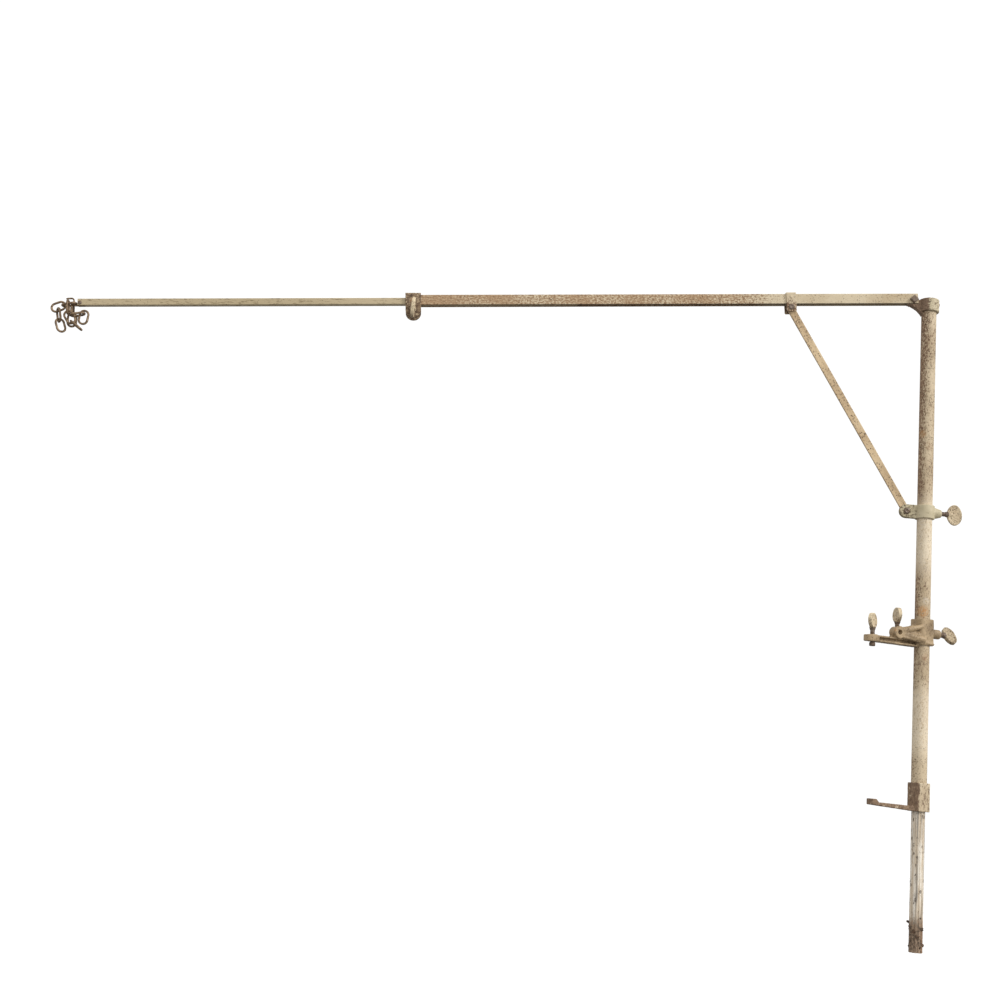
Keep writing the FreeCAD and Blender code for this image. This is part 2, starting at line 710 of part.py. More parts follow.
def ring_clamp():
    """Band round the post with two ears for the brace and a boss for the thumbscrew."""
    mid = BRACE_FOOT_Z
    low = Vector(0, 0, mid - RING_H / 2)
    high = Vector(0, 0, mid + RING_H / 2)
    band = rod(RING_R_OUT, low, high)
    root = Vector(-RING_R_IN, 0, mid)
    foot = Vector(BRACE_FOOT_X, 0, BRACE_FOOT_Z)
    ears = stadium_xz(foot, root, RING_H, 2 * EAR_OUT)
    boss_start = RING_R_IN - RING_BOSS_SINK
    boss_run = RING_BOSS_END - boss_start
    boss = Part.makeCone(RING_H / 2, RING_BOSS_R, boss_run, Vector(boss_start, 0, mid), X)
    body = union(band, ears, boss)
    bore = rod(RING_R_IN, low.sub(Z), high.add(Z))
    gap = block(
        (BRACE_FOOT_X - RING_H, -RING_R_IN + EAR_ROOT), (-EAR_IN, EAR_IN), (low.z - 1, high.z + 1)
    )
    hole = rod(SCREW_HOLE_R, Vector(0, 0, mid), Vector(RING_BOSS_END + 1, 0, mid))
    side = Vector(0, 2 * EAR_OUT, 0)
    eye = rod(RIVET_R, foot.sub(side), foot.add(side))
    return body.cut([bore, gap, hole, eye])


def brace_lower_rivet():
    """Two headed stubs, one in each ear; the space between them is left to the brace."""
    foot = Vector(BRACE_FOOT_X, 0, BRACE_FOOT_Z)
    stubs = []
    for sign in (-1, 1):
        inner = foot.add(Vector(0, sign * EAR_IN, 0))
        outer = foot.add(Vector(0, sign * EAR_OUT, 0))
        head = Part.makeCone(
            EAR_RIVET_HEAD_R, RIVET_TAPER * RIVET_R, RIVET_HEAD_T, outer, Vector(0, sign, 0)
        )
        stubs.append(union(rod(RIVET_R, inner, outer), head))
    return Part.Compound(stubs)


def ring_thumbscrew():
    tip = Vector(RING_R_IN + SCREW_TIP_GAP, 0, BRACE_FOOT_Z)
    shank = RING_BOSS_END - tip.x + LOCK_STAND
    return aim(thumbscrew(shank, LOCK_NECK), tip, X, RING_SPIN)


# --- rail clamp jaw --------------------------------------------------------------------
def jaw_arm():
    """Ribbed arm of the sliding jaw, towards -X, with a round end."""
    tip = -JAW_ARM_REACH + JAW_ARM_W / 2
    root = -JAW_SIDE / 2 + JAW_ARM_SINK
    half = JAW_ARM_W / 2
    slab = block((tip, root), (-half, half), (JAW_ARM_BOTTOM, JAW_ARM_TOP))
    end = rod(half, Vector(tip, 0, JAW_ARM_BOTTOM), Vector(tip, 0, JAW_ARM_TOP))
    body = union(slab, end)
    boss_edge = -CLAMP_U + half
    depth = (JAW_ARM_W - JAW_ARM_RIB) / 2
    cuts = []
    for sign in (-1, 1):
        ys = sorted((sign * JAW_ARM_W, sign * (half - depth)))
        zs = (JAW_ARM_BOTTOM + JAW_ARM_RIM, JAW_ARM_TOP - JAW_ARM_RIM)
        cuts.append(block((boss_edge, -JAW_SIDE / 2 - JAW_GROOVE_GAP), ys, zs))
    return body.cut(cuts)


def jaw_clamp():
    block_body = rounded_square(JAW_SIDE, JAW_CORNER, JAW_BOTTOM, JAW_HEIGHT)
    boss = rod(JAW_BOSS_R, Vector(JAW_SIDE / 2 - JAW_BOSS_SINK, 0, JAW_SCREW_Z),
               Vector(JAW_BOSS_END, 0, JAW_SCREW_Z))
    front = Vector(-SOCKET_U, -SOCKET_FRONT, SOCKET_Z)
    back = Vector(-SOCKET_U, -SOCKET_BACK, SOCKET_Z)
    socket = rod(SOCKET_R, back, front)
    neck_start = Vector(-SOCKET_U, -(SOCKET_FRONT + SOCKET_BACK) / 2, SOCKET_Z - NECK_DROP)
    neck_end = Vector(-JAW_SIDE / 2 + NECK_SINK, -NECK_BACK, JAW_BOTTOM + NECK_RISE)
    run = neck_end.sub(neck_start)
    neck = Part.makeCone(NECK_SOCKET_R, NECK_ROOT_R, run.Length, neck_start, run)
    web = plate_xz(
        [
            (-JAW_SIDE / 2 + NECK_SINK, JAW_BOTTOM + WEB_RISE),
            (-SOCKET_U - WEB_OUT, JAW_ARM_TOP - ROOT_SINK),
            (-SOCKET_U + WEB_TOP, SOCKET_Z + WEB_TOP),
            (-JAW_SIDE / 2 + NECK_SINK, JAW_BOTTOM + JAW_HEIGHT - WEB_SHOULDER),
        ],
        JAW_ARM_RIB,
    )
    pad_seat = rod(JAW_ARM_W / 2, Vector(-CLAMP_U, 0, JAW_ARM_BOTTOM),
                   Vector(-CLAMP_U, 0, JAW_ARM_TOP + SEAT_RISE))
    body = union(block_body, boss, socket, neck, web, jaw_arm(), pad_seat)
    low = Vector(0, 0, JAW_BOTTOM - JAW_ARM_T)
    high = Vector(0, 0, JAW_BOTTOM + JAW_HEIGHT + 1)
    cuts = [
        rod(POST_R + SLIDE_GAP, low, high),
        rod(SCREW_HOLE_R, Vector(0, 0, JAW_SCREW_Z), Vector(JAW_BOSS_END + 1, 0, JAW_SCREW_Z)),
        rod(SOCKET_BORE_R, back.add(Y), front.sub(Y)),
        rod(SCREW_HOLE_R, socket_screw_tip(), Vector(-SOCKET_U, socket_screw_tip().y,
                                                     SOCKET_Z + SOCKET_R + 1)),
        rod(SCREW_HOLE_R, Vector(-CLAMP_U, 0, JAW_ARM_BOTTOM - 1),
            Vector(-CLAMP_U, 0, JAW_ARM_TOP + 2)),
    ]
    return in_jaw_frame(body.cut(cuts))


def socket_screw_tip():
    """The socket screw stops just above the bore's wall, in the middle of the socket."""
    middle = -(SOCKET_FRONT + SOCKET_BACK) / 2
    return Vector(-SOCKET_U, middle, SOCKET_Z + SOCKET_BORE_R - SOCKET_SCREW_SINK)


def socket_thumbscrew():
    tip = socket_screw_tip().add(Vector(0, 0, SOCKET_SCREW_CLEAR))
    shank = SOCKET_Z + SOCKET_R + SOCKET_SCREW_STAND - tip.z
    return in_jaw_frame(aim(thumbscrew(shank, SOCKET_NECK), tip, Z, SOCKET_SPIN))


def jaw_lock_thumbscrew():
    tip = Vector(POST_R + SLIDE_GAP + SCREW_TIP_GAP, 0, JAW_SCREW_Z)
    shank = JAW_BOSS_END - tip.x + LOCK_STAND
    return in_jaw_frame(aim(thumbscrew(shank, LOCK_NECK), tip, X, JAW_LOCK_SPIN))


def clamp_foot():
    """Swivel pad on the clamp screw's tip."""
    top = JAW_ARM_BOTTOM - CLAMP_FOOT_TOP_GAP
    pad = rod(CLAMP_FOOT_R, Vector(-CLAMP_U, 0, top - CLAMP_FOOT_T), Vector(-CLAMP_U, 0, top))
    pad = pad.makeFillet(CLAMP_FOOT_EDGE, [e for e in pad.Edges if e.Closed])
    cup = rod(CLAMP_TIP_R + SLIDE_GAP, Vector(-CLAMP_U, 0, top - CLAMP_FOOT_T / 2),
              Vector(-CLAMP_U, 0, top + 1.0))
    return in_jaw_frame(pad.cut(cup))


def clamp_thumbscrew():
    """Clamp screw: a reduced tip in the pad, a threaded shank and the spade above."""
    start = JAW_ARM_BOTTOM - CLAMP_FOOT_TOP_GAP + SLIDE_GAP
    shank = JAW_ARM_TOP + SEAT_RISE + CLAMP_STAND - start
    tip = rod(CLAMP_TIP_R, Vector(0, 0, -CLAMP_FOOT_T / 2), Vector(0, 0, ROOT_SINK))
    screw = thumbscrew(shank, CLAMP_NECK, tip)
    return in_jaw_frame(aim(screw, Vector(-CLAMP_U, 0, start), Z, CLAMP_SPIN))


# --- hook and chain --------------------------------------------------------------------
def tip_frame(shape):
    """Move a shape from a frame at the tip pin, arm level, to its place."""
    shape.translate(Vector(TIP_PIN_X, 0, ARM_RISE + TIP_PIN_Z))
    return in_arm_frame(shape)


def hook_wire():
    """One wire: an eye on the tip pin, a short shank, an upright stem and an open hook."""
    eye_r = HOOK_EYE_R
    stem_x = -HOOK_SHANK - eye_r
    diagonal = eye_r * math.sqrt(0.5)
    eye_start = Vector(-eye_r, 0, 0)
    eye_side = Vector(diagonal, 0, diagonal)
    eye_end = Vector(0, 0, -eye_r)
    shank_end = Vector(-HOOK_SHANK, 0, -eye_r)
    elbow = Vector(-HOOK_SHANK - diagonal, 0, -diagonal)
    stem_low = Vector(stem_x, 0, 0)
    stem_high = Vector(stem_x, 0, HOOK_STEM)
    bend = HOOK_BEND_R
    crest_side = Vector(stem_x - bend * (1 - math.sqrt(0.5)), 0,
                        HOOK_STEM + bend * math.sqrt(0.5))
    crest = Vector(stem_x - bend, 0, HOOK_STEM + bend)
    beak = Vector(crest.x - HOOK_BEAK, 0, crest.z)
    turn = math.radians(HOOK_TIP_TURN)
    tip_r = HOOK_TIP_BEND_R
    halfway = Vector(beak.x - tip_r * math.sin(turn / 2), 0,
                     beak.z - tip_r * (1 - math.cos(turn / 2)))
    point = Vector(beak.x - tip_r * math.sin(turn), 0, beak.z - tip_r * (1 - math.cos(turn)))
    edges = [
        Part.Arc(eye_start, eye_side, eye_end).toShape(),
        Part.makeLine(eye_end, shank_end),
        Part.Arc(shank_end, elbow, stem_low).toShape(),
        Part.makeLine(stem_low, stem_high),
        Part.Arc(stem_high, crest_side, crest).toShape(),
        Part.makeLine(crest, beak),
        Part.Arc(beak, halfway, point).toShape(),
    ]
    return tip_frame(wire_pipe(edges, WIRE_R))


def chain_link():
    """One oval link about the origin, long along X, flat in the XZ plane."""
    bend = LINK_WIDTH / 2 - LINK_WIRE_R
    run = LINK_LENGTH / 2 - LINK_WIDTH / 2
    pieces = []
    for sign in (-1, 1):
        centre = Vector(sign * run, 0, 0)
        torus = Part.makeTorus(bend, LINK_WIRE_R, centre, Y)
        xs = sorted((centre.x, centre.x + sign * LINK_WIDTH))
        half = block(xs, (-LINK_WIRE_R, LINK_WIRE_R), (-LINK_WIDTH, LINK_WIDTH))
        pieces.append(torus.common(half))
        side = Vector(0, 0, sign * bend)
        pieces.append(rod(LINK_WIRE_R, Vector(-run, 0, 0).add(side), Vector(run, 0, 0).add(side)))
    return union(pieces[0], *pieces[1:])


def placed_link(centre, heading, roll):
    """A link with its length along a heading in the XZ plane, rolled about that heading."""
    link = chain_link()
    link.rotate(ORIGIN, X, roll)
    link.rotate(ORIGIN, Y, heading)
    link.translate(centre)
    return link


def heading_vector(heading):
    """The XZ direction that a turn about Y gives to +X."""
    turn = math.radians(heading)
    return Vector(math.cos(turn), 0, -math.sin(turn))


def next_link(before, heading, roll):
    """The link threaded through the far end of another one."""
    centre, old_heading, _ = before
    reach = LINK_LENGTH / 2 - LINK_WIRE_R
    hold = 2 * LINK_WIRE_R + LINK_SLACK
    joint = centre.add(heading_vector(old_heading) * reach)
    return (joint.add(heading_vector(heading) * (reach - hold)), heading, roll)


def hung_link(before, along, side, heading, roll):
    """A link threaded round the side wire of another one, at a distance along it."""
    centre, old_heading, _ = before
    reach = LINK_LENGTH / 2 - LINK_WIRE_R
    hold = 2 * LINK_WIRE_R + LINK_SLACK
    wire = centre.add(heading_vector(old_heading) * along).add(side)
    return (wire.add(heading_vector(heading) * (reach - hold)), heading, roll)


def chain_links():
    """Three short strands bunched on the hook: each link's centre, heading and roll."""
    reach = LINK_LENGTH / 2 - LINK_WIRE_R
    bend = LINK_WIDTH / 2 - LINK_WIRE_R
    seat = Vector(-HOOK_SHANK, 0, 0)
    first = (seat.add(heading_vector(172) * reach), 172, 90)
    second = next_link(first, 160, 0)
    third = hung_link(second, SIDE_ALONG, heading_vector(70) * bend, 82, 58)
    fourth = next_link(third, 74, -34)
    front = hung_link(first, FRONT_ALONG, Vector(0, -bend, 0), 90, 90)
    loop = next_link(front, 60, 0)
    tail = next_link(loop, 40, 90)
    spur = hung_link(loop, SPUR_ALONG, heading_vector(-30) * bend, -8, 90)
    spur_end = next_link(spur, 100, 0)
    back = hung_link(first, BACK_ALONG, Vector(0, bend, 0), 90, 90)
    back_end = next_link(back, 92, 0)
    return [
        first, second, third, fourth, front, loop, tail, spur, spur_end, back, back_end,
    ]


def main():
    os.makedirs("parts", exist_ok=True)
    for build in (
        post_tube, inner_leg, foot_bracket, top_bracket, bracket_pin,
        pivot_bolt, pivot_washer, pivot_nut, outer_arm, strap_rivets,
        strap_hanger, brace_upper_rivet, brace_spacers, end_clamp, end_clamp_nut,
        end_clamp_thumbscrew, boom_bar, boom_heel_block, heel_rivets, tip_pin,
        brace_bar, ring_clamp, brace_lower_rivet, ring_thumbscrew, jaw_clamp,
        socket_thumbscrew, jaw_lock_thumbscrew, clamp_foot, clamp_thumbscrew, hook_wire,
    ):
        save(build.__name__, build())
    save("foot_rivets", foot_rivet_bars())
    for number, (centre, heading, roll) in enumerate(chain_links(), start=1):
        save("chain_link_" + str(number), tip_frame(placed_link(centre, heading, roll)))


main()
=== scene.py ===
"""An aged jib arm that clamps to a rail: its cast, turned and bent pieces, their finishes and the studio.

Everything is in metres in the frame's own axes: +Z up the post, -X towards the boom's tip. The
post, leg, channels and small plates are the frame's own nodes with better finishes. Castings,
thumbscrews, rivets, bolts, wire and scale are modelled here and stand for their nodes.
"""

import json
import logging
import math
from dataclasses import dataclass
from enum import Enum
from typing import Any, Callable, Sequence

import bpy
from mathutils import Matrix, Vector

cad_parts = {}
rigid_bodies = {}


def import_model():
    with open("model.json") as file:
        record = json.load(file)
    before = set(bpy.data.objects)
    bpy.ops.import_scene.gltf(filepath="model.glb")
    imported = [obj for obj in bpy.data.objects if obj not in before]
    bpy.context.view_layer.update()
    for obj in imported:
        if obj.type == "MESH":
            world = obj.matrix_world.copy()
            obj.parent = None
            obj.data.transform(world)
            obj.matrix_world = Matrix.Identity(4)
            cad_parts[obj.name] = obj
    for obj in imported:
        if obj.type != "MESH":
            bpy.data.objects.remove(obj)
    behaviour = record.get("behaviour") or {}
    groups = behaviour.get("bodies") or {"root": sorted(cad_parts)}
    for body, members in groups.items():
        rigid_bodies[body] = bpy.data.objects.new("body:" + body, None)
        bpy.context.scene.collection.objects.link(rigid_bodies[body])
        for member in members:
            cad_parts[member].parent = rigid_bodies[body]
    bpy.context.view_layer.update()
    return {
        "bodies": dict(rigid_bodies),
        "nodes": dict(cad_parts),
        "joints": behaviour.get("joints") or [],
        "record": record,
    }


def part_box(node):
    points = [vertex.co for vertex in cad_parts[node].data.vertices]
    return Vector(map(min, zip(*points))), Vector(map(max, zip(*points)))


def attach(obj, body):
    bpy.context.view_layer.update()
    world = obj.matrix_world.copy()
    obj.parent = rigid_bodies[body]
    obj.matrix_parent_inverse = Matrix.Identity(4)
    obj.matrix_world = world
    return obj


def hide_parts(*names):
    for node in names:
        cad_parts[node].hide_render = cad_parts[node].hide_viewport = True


LOG = logging.getLogger("jib_arm")
MM = 0.001
DROOP = math.radians(5.3)
JAW_YAW = math.radians(22.0)
# The post's side that is turned from the key light, as the camera sees it; finishes that lean this way
# paint shade there as bare rust.
POST_SHADED_SIDE = (-0.95, 0.31, 0.0)
SHEEN = 0.35
MERGE = 0.004 * MM
SEAM = 0.01 * MM
FACES_UP = 0.9
CORNER_DROP = 1.1 * MM
LUMP_SIZE = 9.0 * MM
SAND_SIZE = 1.6 * MM
FLAT_ANGLE = math.radians(1.0)
SHARP_ANGLE = math.radians(40.0)

Colour = tuple[float, float, float]
Triple = tuple[float, float, float]
Piece = bpy.types.Object


class Slot(Enum):
    """The record's material slots."""

    CREAM = "cream_paint"
    GREEN_CREAM = "green_cream_paint"
    CASTING = "khaki_casting"
    LEG = "pale_leg"
    WIRE = "rusty_wire"
    STEEL = "dark_steel"


# --- shader maths ---


class Signal:
    """A shader socket that adds Math nodes when it is used in arithmetic."""

    def __init__(self, nodes: "Nodes", socket: bpy.types.NodeSocket) -> None:
        """Wrap one output socket of a tree's nodes."""
        self.nodes = nodes
        self.socket = socket

    def _math(self, operation: str, *values: Any) -> "Signal":
        """Add one Math node over some values or signals."""
        node = self.nodes.node("ShaderNodeMath", {"operation": operation}, dict(enumerate(values)))
        return self.nodes.out(node, 0)

    def __add__(self, other: Any) -> "Signal":
        """Sum."""
        return self._math("ADD", self, other)

    __radd__ = __add__

    def __mul__(self, other: Any) -> "Signal":
        """Product."""
        return self._math("MULTIPLY", self, other)

    __rmul__ = __mul__

    def __sub__(self, other: Any) -> "Signal":
        """Difference."""
        return self._math("SUBTRACT", self, other)

    def __rsub__(self, other: Any) -> "Signal":
        """Difference, the other way round."""
        return self._math("SUBTRACT", other, self)

    def __abs__(self) -> "Signal":
        """Absolute value."""
        return self._math("ABSOLUTE", self)


class Nodes:
    """A node tree, and the one way that nodes are added to it."""

    def __init__(self, tree: bpy.types.NodeTree) -> None:
        """Keep the tree."""
        self.tree = tree

    def node(
        self, kind: str, settings: dict[str, Any], inputs: dict[Any, Any]
    ) -> bpy.types.Node:
        """Add a node, set it up, then fill its sockets.

        Args:
            kind: The node's type.
            settings: Properties that are set first.
            inputs: Values or signals by socket index or name.

        Returns:
            The node.
        """
        made = self.tree.nodes.new(kind)
        for name, value in settings.items():
            setattr(made, name, value)
        for key, value in inputs.items():
            self.feed(made.inputs[key], value)
        return made

    def feed(self, socket: bpy.types.NodeSocket, value: Any) -> None:
        """Link a signal to a socket, or set the socket's own value."""
        if isinstance(value, Signal):
            self.tree.links.new(value.socket, socket)
        elif isinstance(value, tuple) and len(socket.default_value) == 4:
            socket.default_value = (*value, 1.0)
        else:
            socket.default_value = value

    def out(self, node: bpy.types.Node, key: Any) -> Signal:
        """One output of a node as a signal."""
        return Signal(self, node.outputs[key])


class Shading(Nodes):
    """One material and the nodes in it."""

    def __init__(self, name: str) -> None:
        """Start a material with a single principled shader."""
        self.material = bpy.data.materials.new(name)
        self.material.use_nodes = True
        super().__init__(self.material.node_tree)
        self.shader = self.tree.nodes["Principled BSDF"]

    def dress(self, skin: dict[str, Any]) -> None:
        """Feed the principled shader's sockets by name."""
        for key, value in skin.items():
            self.feed(self.shader.inputs[key], value)

    def place(self) -> Signal:
        """The point on the surface, in the frame's own metres."""
        return self.out(self.node("ShaderNodeTexCoord", {}, {}), "Object")

    def stretched(self, point: Signal, scale: Triple, turn: Triple = (0, 0, 0)) -> Signal:
        """The point, scaled along each axis after a turn.

        Args:
            point: The point to scale.
            scale: Factor along each axis.
            turn: Euler angles in radians.

        Returns:
            The scaled point.
        """
        node = self.node(
            "ShaderNodeMapping",
            {"vector_type": "POINT"},
            {"Vector": point, "Rotation": turn, "Scale": scale},
        )
        return self.out(node, 0)

    def noise(self, point: Signal, scale: float, detail: float, rough: float) -> Signal:
        """Fractal noise about 0.5.

        Args:
            point: Where it is read.
            scale: Features per metre.
            detail: Octaves.
            rough: Weight of the small octaves.

        Returns:
            The noise value.
        """
        node = self.node(
            "ShaderNodeTexNoise",
            {"noise_dimensions": "3D"},
            {"Vector": point, "Scale": scale, "Detail": detail, "Roughness": rough},
        )
        return self.out(node, 0)

    def cells(self, point: Signal, scale: float) -> Signal:
        """Distance to the nearest of many scattered points."""
        node = self.node(
            "ShaderNodeTexVoronoi", {"feature": "F1"}, {"Vector": point, "Scale": scale}
        )
        return self.out(node, 0)

    def ramp(self, value: Any, low: float, high: float) -> Signal:
        """A smooth step from 0 at low to 1 at high."""
        node = self.node(
            "ShaderNodeMapRange",
            {"interpolation_type": "SMOOTHSTEP", "clamp": True},
            {0: value, 1: low, 2: high, 3: 0.0, 4: 1.0},
        )
        return self.out(node, 0)

    def blend(self, share: Any, low: Any, high: Any) -> Signal:
        """A colour between two.

        Args:
            share: 0 gives the first, 1 the second.
            low: First colour or signal.
            high: Second colour or signal.

        Returns:
            The blended colour.
        """
        node = self.node(
            "ShaderNodeMix", {"data_type": "RGBA"}, {0: share, 6: low, 7: high}
        )
        return self.out(node, 2)

    def along(self, point: Signal, direction: Triple) -> Signal:
        """How far the point lies along a direction."""
        node = self.node(
            "ShaderNodeVectorMath", {"operation": "DOT_PRODUCT"}, {0: point, 1: direction}
        )
        return self.out(node, "Value")

    def reach(self, point: Signal, centre: Triple) -> Signal:
        """The point's distance from a centre."""
        node = self.node(
            "ShaderNodeVectorMath", {"operation": "DISTANCE"}, {0: point, 1: centre}
        )
        return self.out(node, "Value")

    def facing(self, direction: Triple, low: float, high: float) -> Signal:
        """1 where the surface faces a direction."""
        geometry = self.node("ShaderNodeNewGeometry", {}, {})
        return self.ramp(self.along(self.out(geometry, "Normal"), direction), low, high)

    def edges(self, low: float, high: float) -> Signal:
        """1 on sharp outer edges of a fine mesh."""
        geometry = self.node("ShaderNodeNewGeometry", {}, {})
        return self.ramp(self.out(geometry, "Pointiness"), low, high)

    def hollows(self, low: float, high: float) -> Signal:
        """1 deep in the inner corners of a fine mesh."""
        return 1 - self.edges(low, high)

    def finish(
        self, colour: Any, rough: Any, metal: Any, height: Signal, depth: float
    ) -> bpy.types.Material:
        """Feed the shader.

        Args:
            colour: Base colour.
            rough: Roughness.
            metal: Metallic share.
            height: Relief from 0 to 1.
            depth: What 1 of relief stands for, in metres.

        Returns:
            The finished material.
        """
        bump = self.node(
            "ShaderNodeBump", {}, {"Height": height, "Strength": 1.0, "Distance": depth}
        )
        self.dress(
            {"Base Color": colour, "Roughness": rough, "Metallic": metal,
             "Normal": self.out(bump, "Normal"), "Specular IOR Level": SHEEN}
        )
        return self.material


# --- finishes ---


@dataclass(frozen=True)
class Stain:
    """A local patch of fresh rust or bare chalk."""

    centre: Triple
    radius: float
    tint: Colour
    strength: float = 1.0


@dataclass(frozen=True)
class WornPaint:
    """Old paint over rusting iron, thinner towards one side; where that side is the shaded one, its bare
    rust is painted shade.
    """

    name: str
    paint: Colour = (0.62, 0.52, 0.35)
    paint_shade: Colour = (0.50, 0.40, 0.25)
    rust: Colour = (0.30, 0.185, 0.11)
    rust_dark: Colour = (0.12, 0.07, 0.042)
    # Colour of the pits, also used for the painted shade on faces that look down.
    pit_and_shade: Colour = (0.06, 0.038, 0.026)
    broad: float = 22.0
    mottle: float = 260.0
    stretch: Triple = (1.0, 1.0, 1.0)
    turn: Triple = (0.0, 0.0, 0.0)
    wear_from: float = 0.50
    wear_to: float = 0.62
    # lean picks the side where paint gives way to rust: on the post, top bracket, foot jaw and ring it is
    # the shaded side, so that rust is painted shade; on the arm it runs towards the tip, on the hanger
    # towards the bottom.
    lean: Triple = (1.0, 0.0, 0.0)
    lean_from: float = 10.0
    lean_to: float = 11.0
    lean_gain: float = 0.0
    pits: float = 430.0
    pit_size: float = 0.20
    pit_cover: float = 0.55
    edge_wear: float = 0.0
    # Strength of the painted shade in hollows; when set, it also turns on a painted highlight on sharp
    # edges in the colour below.
    hollow_shade_edge_highlight: float = 0.0
    edge_highlight: Colour = (0.55, 0.45, 0.30)
    paint_rough: float = 0.52
    rust_rough: float = 0.86
    relief: float = 0.35 * MM
    broad_share: float = 0.20
    under_shade: float = 0.0
    stains: tuple[Stain, ...] = ()

    def build(self) -> bpy.types.Material:
        """Make the material.

        Returns:
            The material.
        """
        s = Shading(self.name)
        here = s.place()
        drawn = s.stretched(here, self.stretch, self.turn)
        broad = s.noise(drawn, self.broad, 3.0, 0.55)
        mottle = s.noise(drawn, self.mottle, 6.0, 0.70)
        grain = s.noise(here, 1500.0, 3.0, 0.6)
        # side, thin and worn hold real wear and, where lean points at the shaded side, painted shade that
        # turns the paint to bare rust there.
        side = s.ramp(s.along(here, self.lean), self.lean_from, self.lean_to)
        thin = mottle * (1.0 - self.broad_share) + broad * self.broad_share + side * self.lean_gain
        if self.edge_wear:
            thin = thin + s.edges(0.53, 0.60) * self.edge_wear
        worn = s.ramp(thin, self.wear_from, self.wear_to)
        coat = s.blend(s.ramp(broad, 0.38, 0.64), self.paint, self.paint_shade)
        coat = s.blend(s.ramp(grain, 0.35, 0.75) * 0.35, coat, self.paint_shade)
        bare = s.blend(s.ramp(mottle, 0.42, 0.66), self.rust, self.rust_dark)
        colour = s.blend(worn, coat, bare)
        spots = 1 - s.ramp(s.cells(here, self.pits), self.pit_size * 0.55, self.pit_size)
        share = s.ramp(s.noise(here, self.pits * 0.16, 2.0, 0.5), self.pit_cover, self.pit_cover + 0.1)
        pitted = spots * share
        colour = s.blend(pitted * 0.9, colour, self.pit_and_shade)
        for stain in self.stains:
            near = s.reach(here, stain.centre) + mottle * (stain.radius * 0.9)
            mask = 1 - s.ramp(near, stain.radius * 0.9, stain.radius * 1.5)
            mask = mask * s.ramp(mottle, 0.40, 0.54) * s.ramp(grain, 0.1, 0.5)
            colour = s.blend(mask * stain.strength, colour, stain.tint)
        # Painted shade: faces that look down are darkened towards the pit colour.
        if self.under_shade:
            colour = s.blend(s.facing((0.0, 0.0, -1.0), 0.45, 0.8) * self.under_shade, colour, self.pit_and_shade)
        # Painted shade in the hollows, in the dark rust colour, then a painted highlight on the sharp
        # edges.
        if self.hollow_shade_edge_highlight:
            colour = s.blend(s.hollows(0.42, 0.49) * self.hollow_shade_edge_highlight, colour, self.rust_dark)
            colour = s.blend(s.edges(0.54, 0.62) * 0.45, colour, self.edge_highlight)
        rough = s.ramp(worn, 0.0, 1.0) * (self.rust_rough - self.paint_rough) + self.paint_rough
        height = (1 - worn) * 0.35 + mottle * 0.25 + grain * 0.12 - pitted * 0.6
        return s.finish(colour, rough, worn * 0.12, height + 0.6, self.relief)


@dataclass(frozen=True)
class BrownedSteel:
    """Bare steel that has browned and rusted."""

    name: str
    clean: Colour = (0.20, 0.155, 0.12)
    brown: Colour = (0.105, 0.065, 0.042)
    bloom: Colour = (0.34, 0.17, 0.07)
    glint: Colour = (0.46, 0.38, 0.24)
    bloom_share: float = 0.5
    glint_share: float = 0.6
    grain: float = 520.0
    relief: float = 0.25 * MM

    def build(self) -> bpy.types.Material:
        """Make the material.

        Returns:
            The material.
        """
        s = Shading(self.name)
        here = s.place()
        coarse = s.noise(here, self.grain * 0.3, 4.0, 0.6)
        fine = s.noise(here, self.grain, 6.0, 0.72)
        colour = s.blend(s.ramp(coarse, 0.38, 0.62), self.clean, self.brown)
        bloom = s.ramp(fine, 0.55, 0.70)
        colour = s.blend(bloom * self.bloom_share, colour, self.bloom)
        # Lighter spots where the steel is rubbed: partly rubbed bare metal, partly a painted glint.
        rubbed_glint = s.ramp(1 - fine, 0.52, 0.66) * s.ramp(coarse, 0.42, 0.60)
        colour = s.blend(rubbed_glint * self.glint_share, colour, self.glint)
        rough = 0.48 + bloom * 0.38
        return s.finish(colour, rough, 0.35 - bloom * 0.3, fine * 0.7 + coarse * 0.5, self.relief)


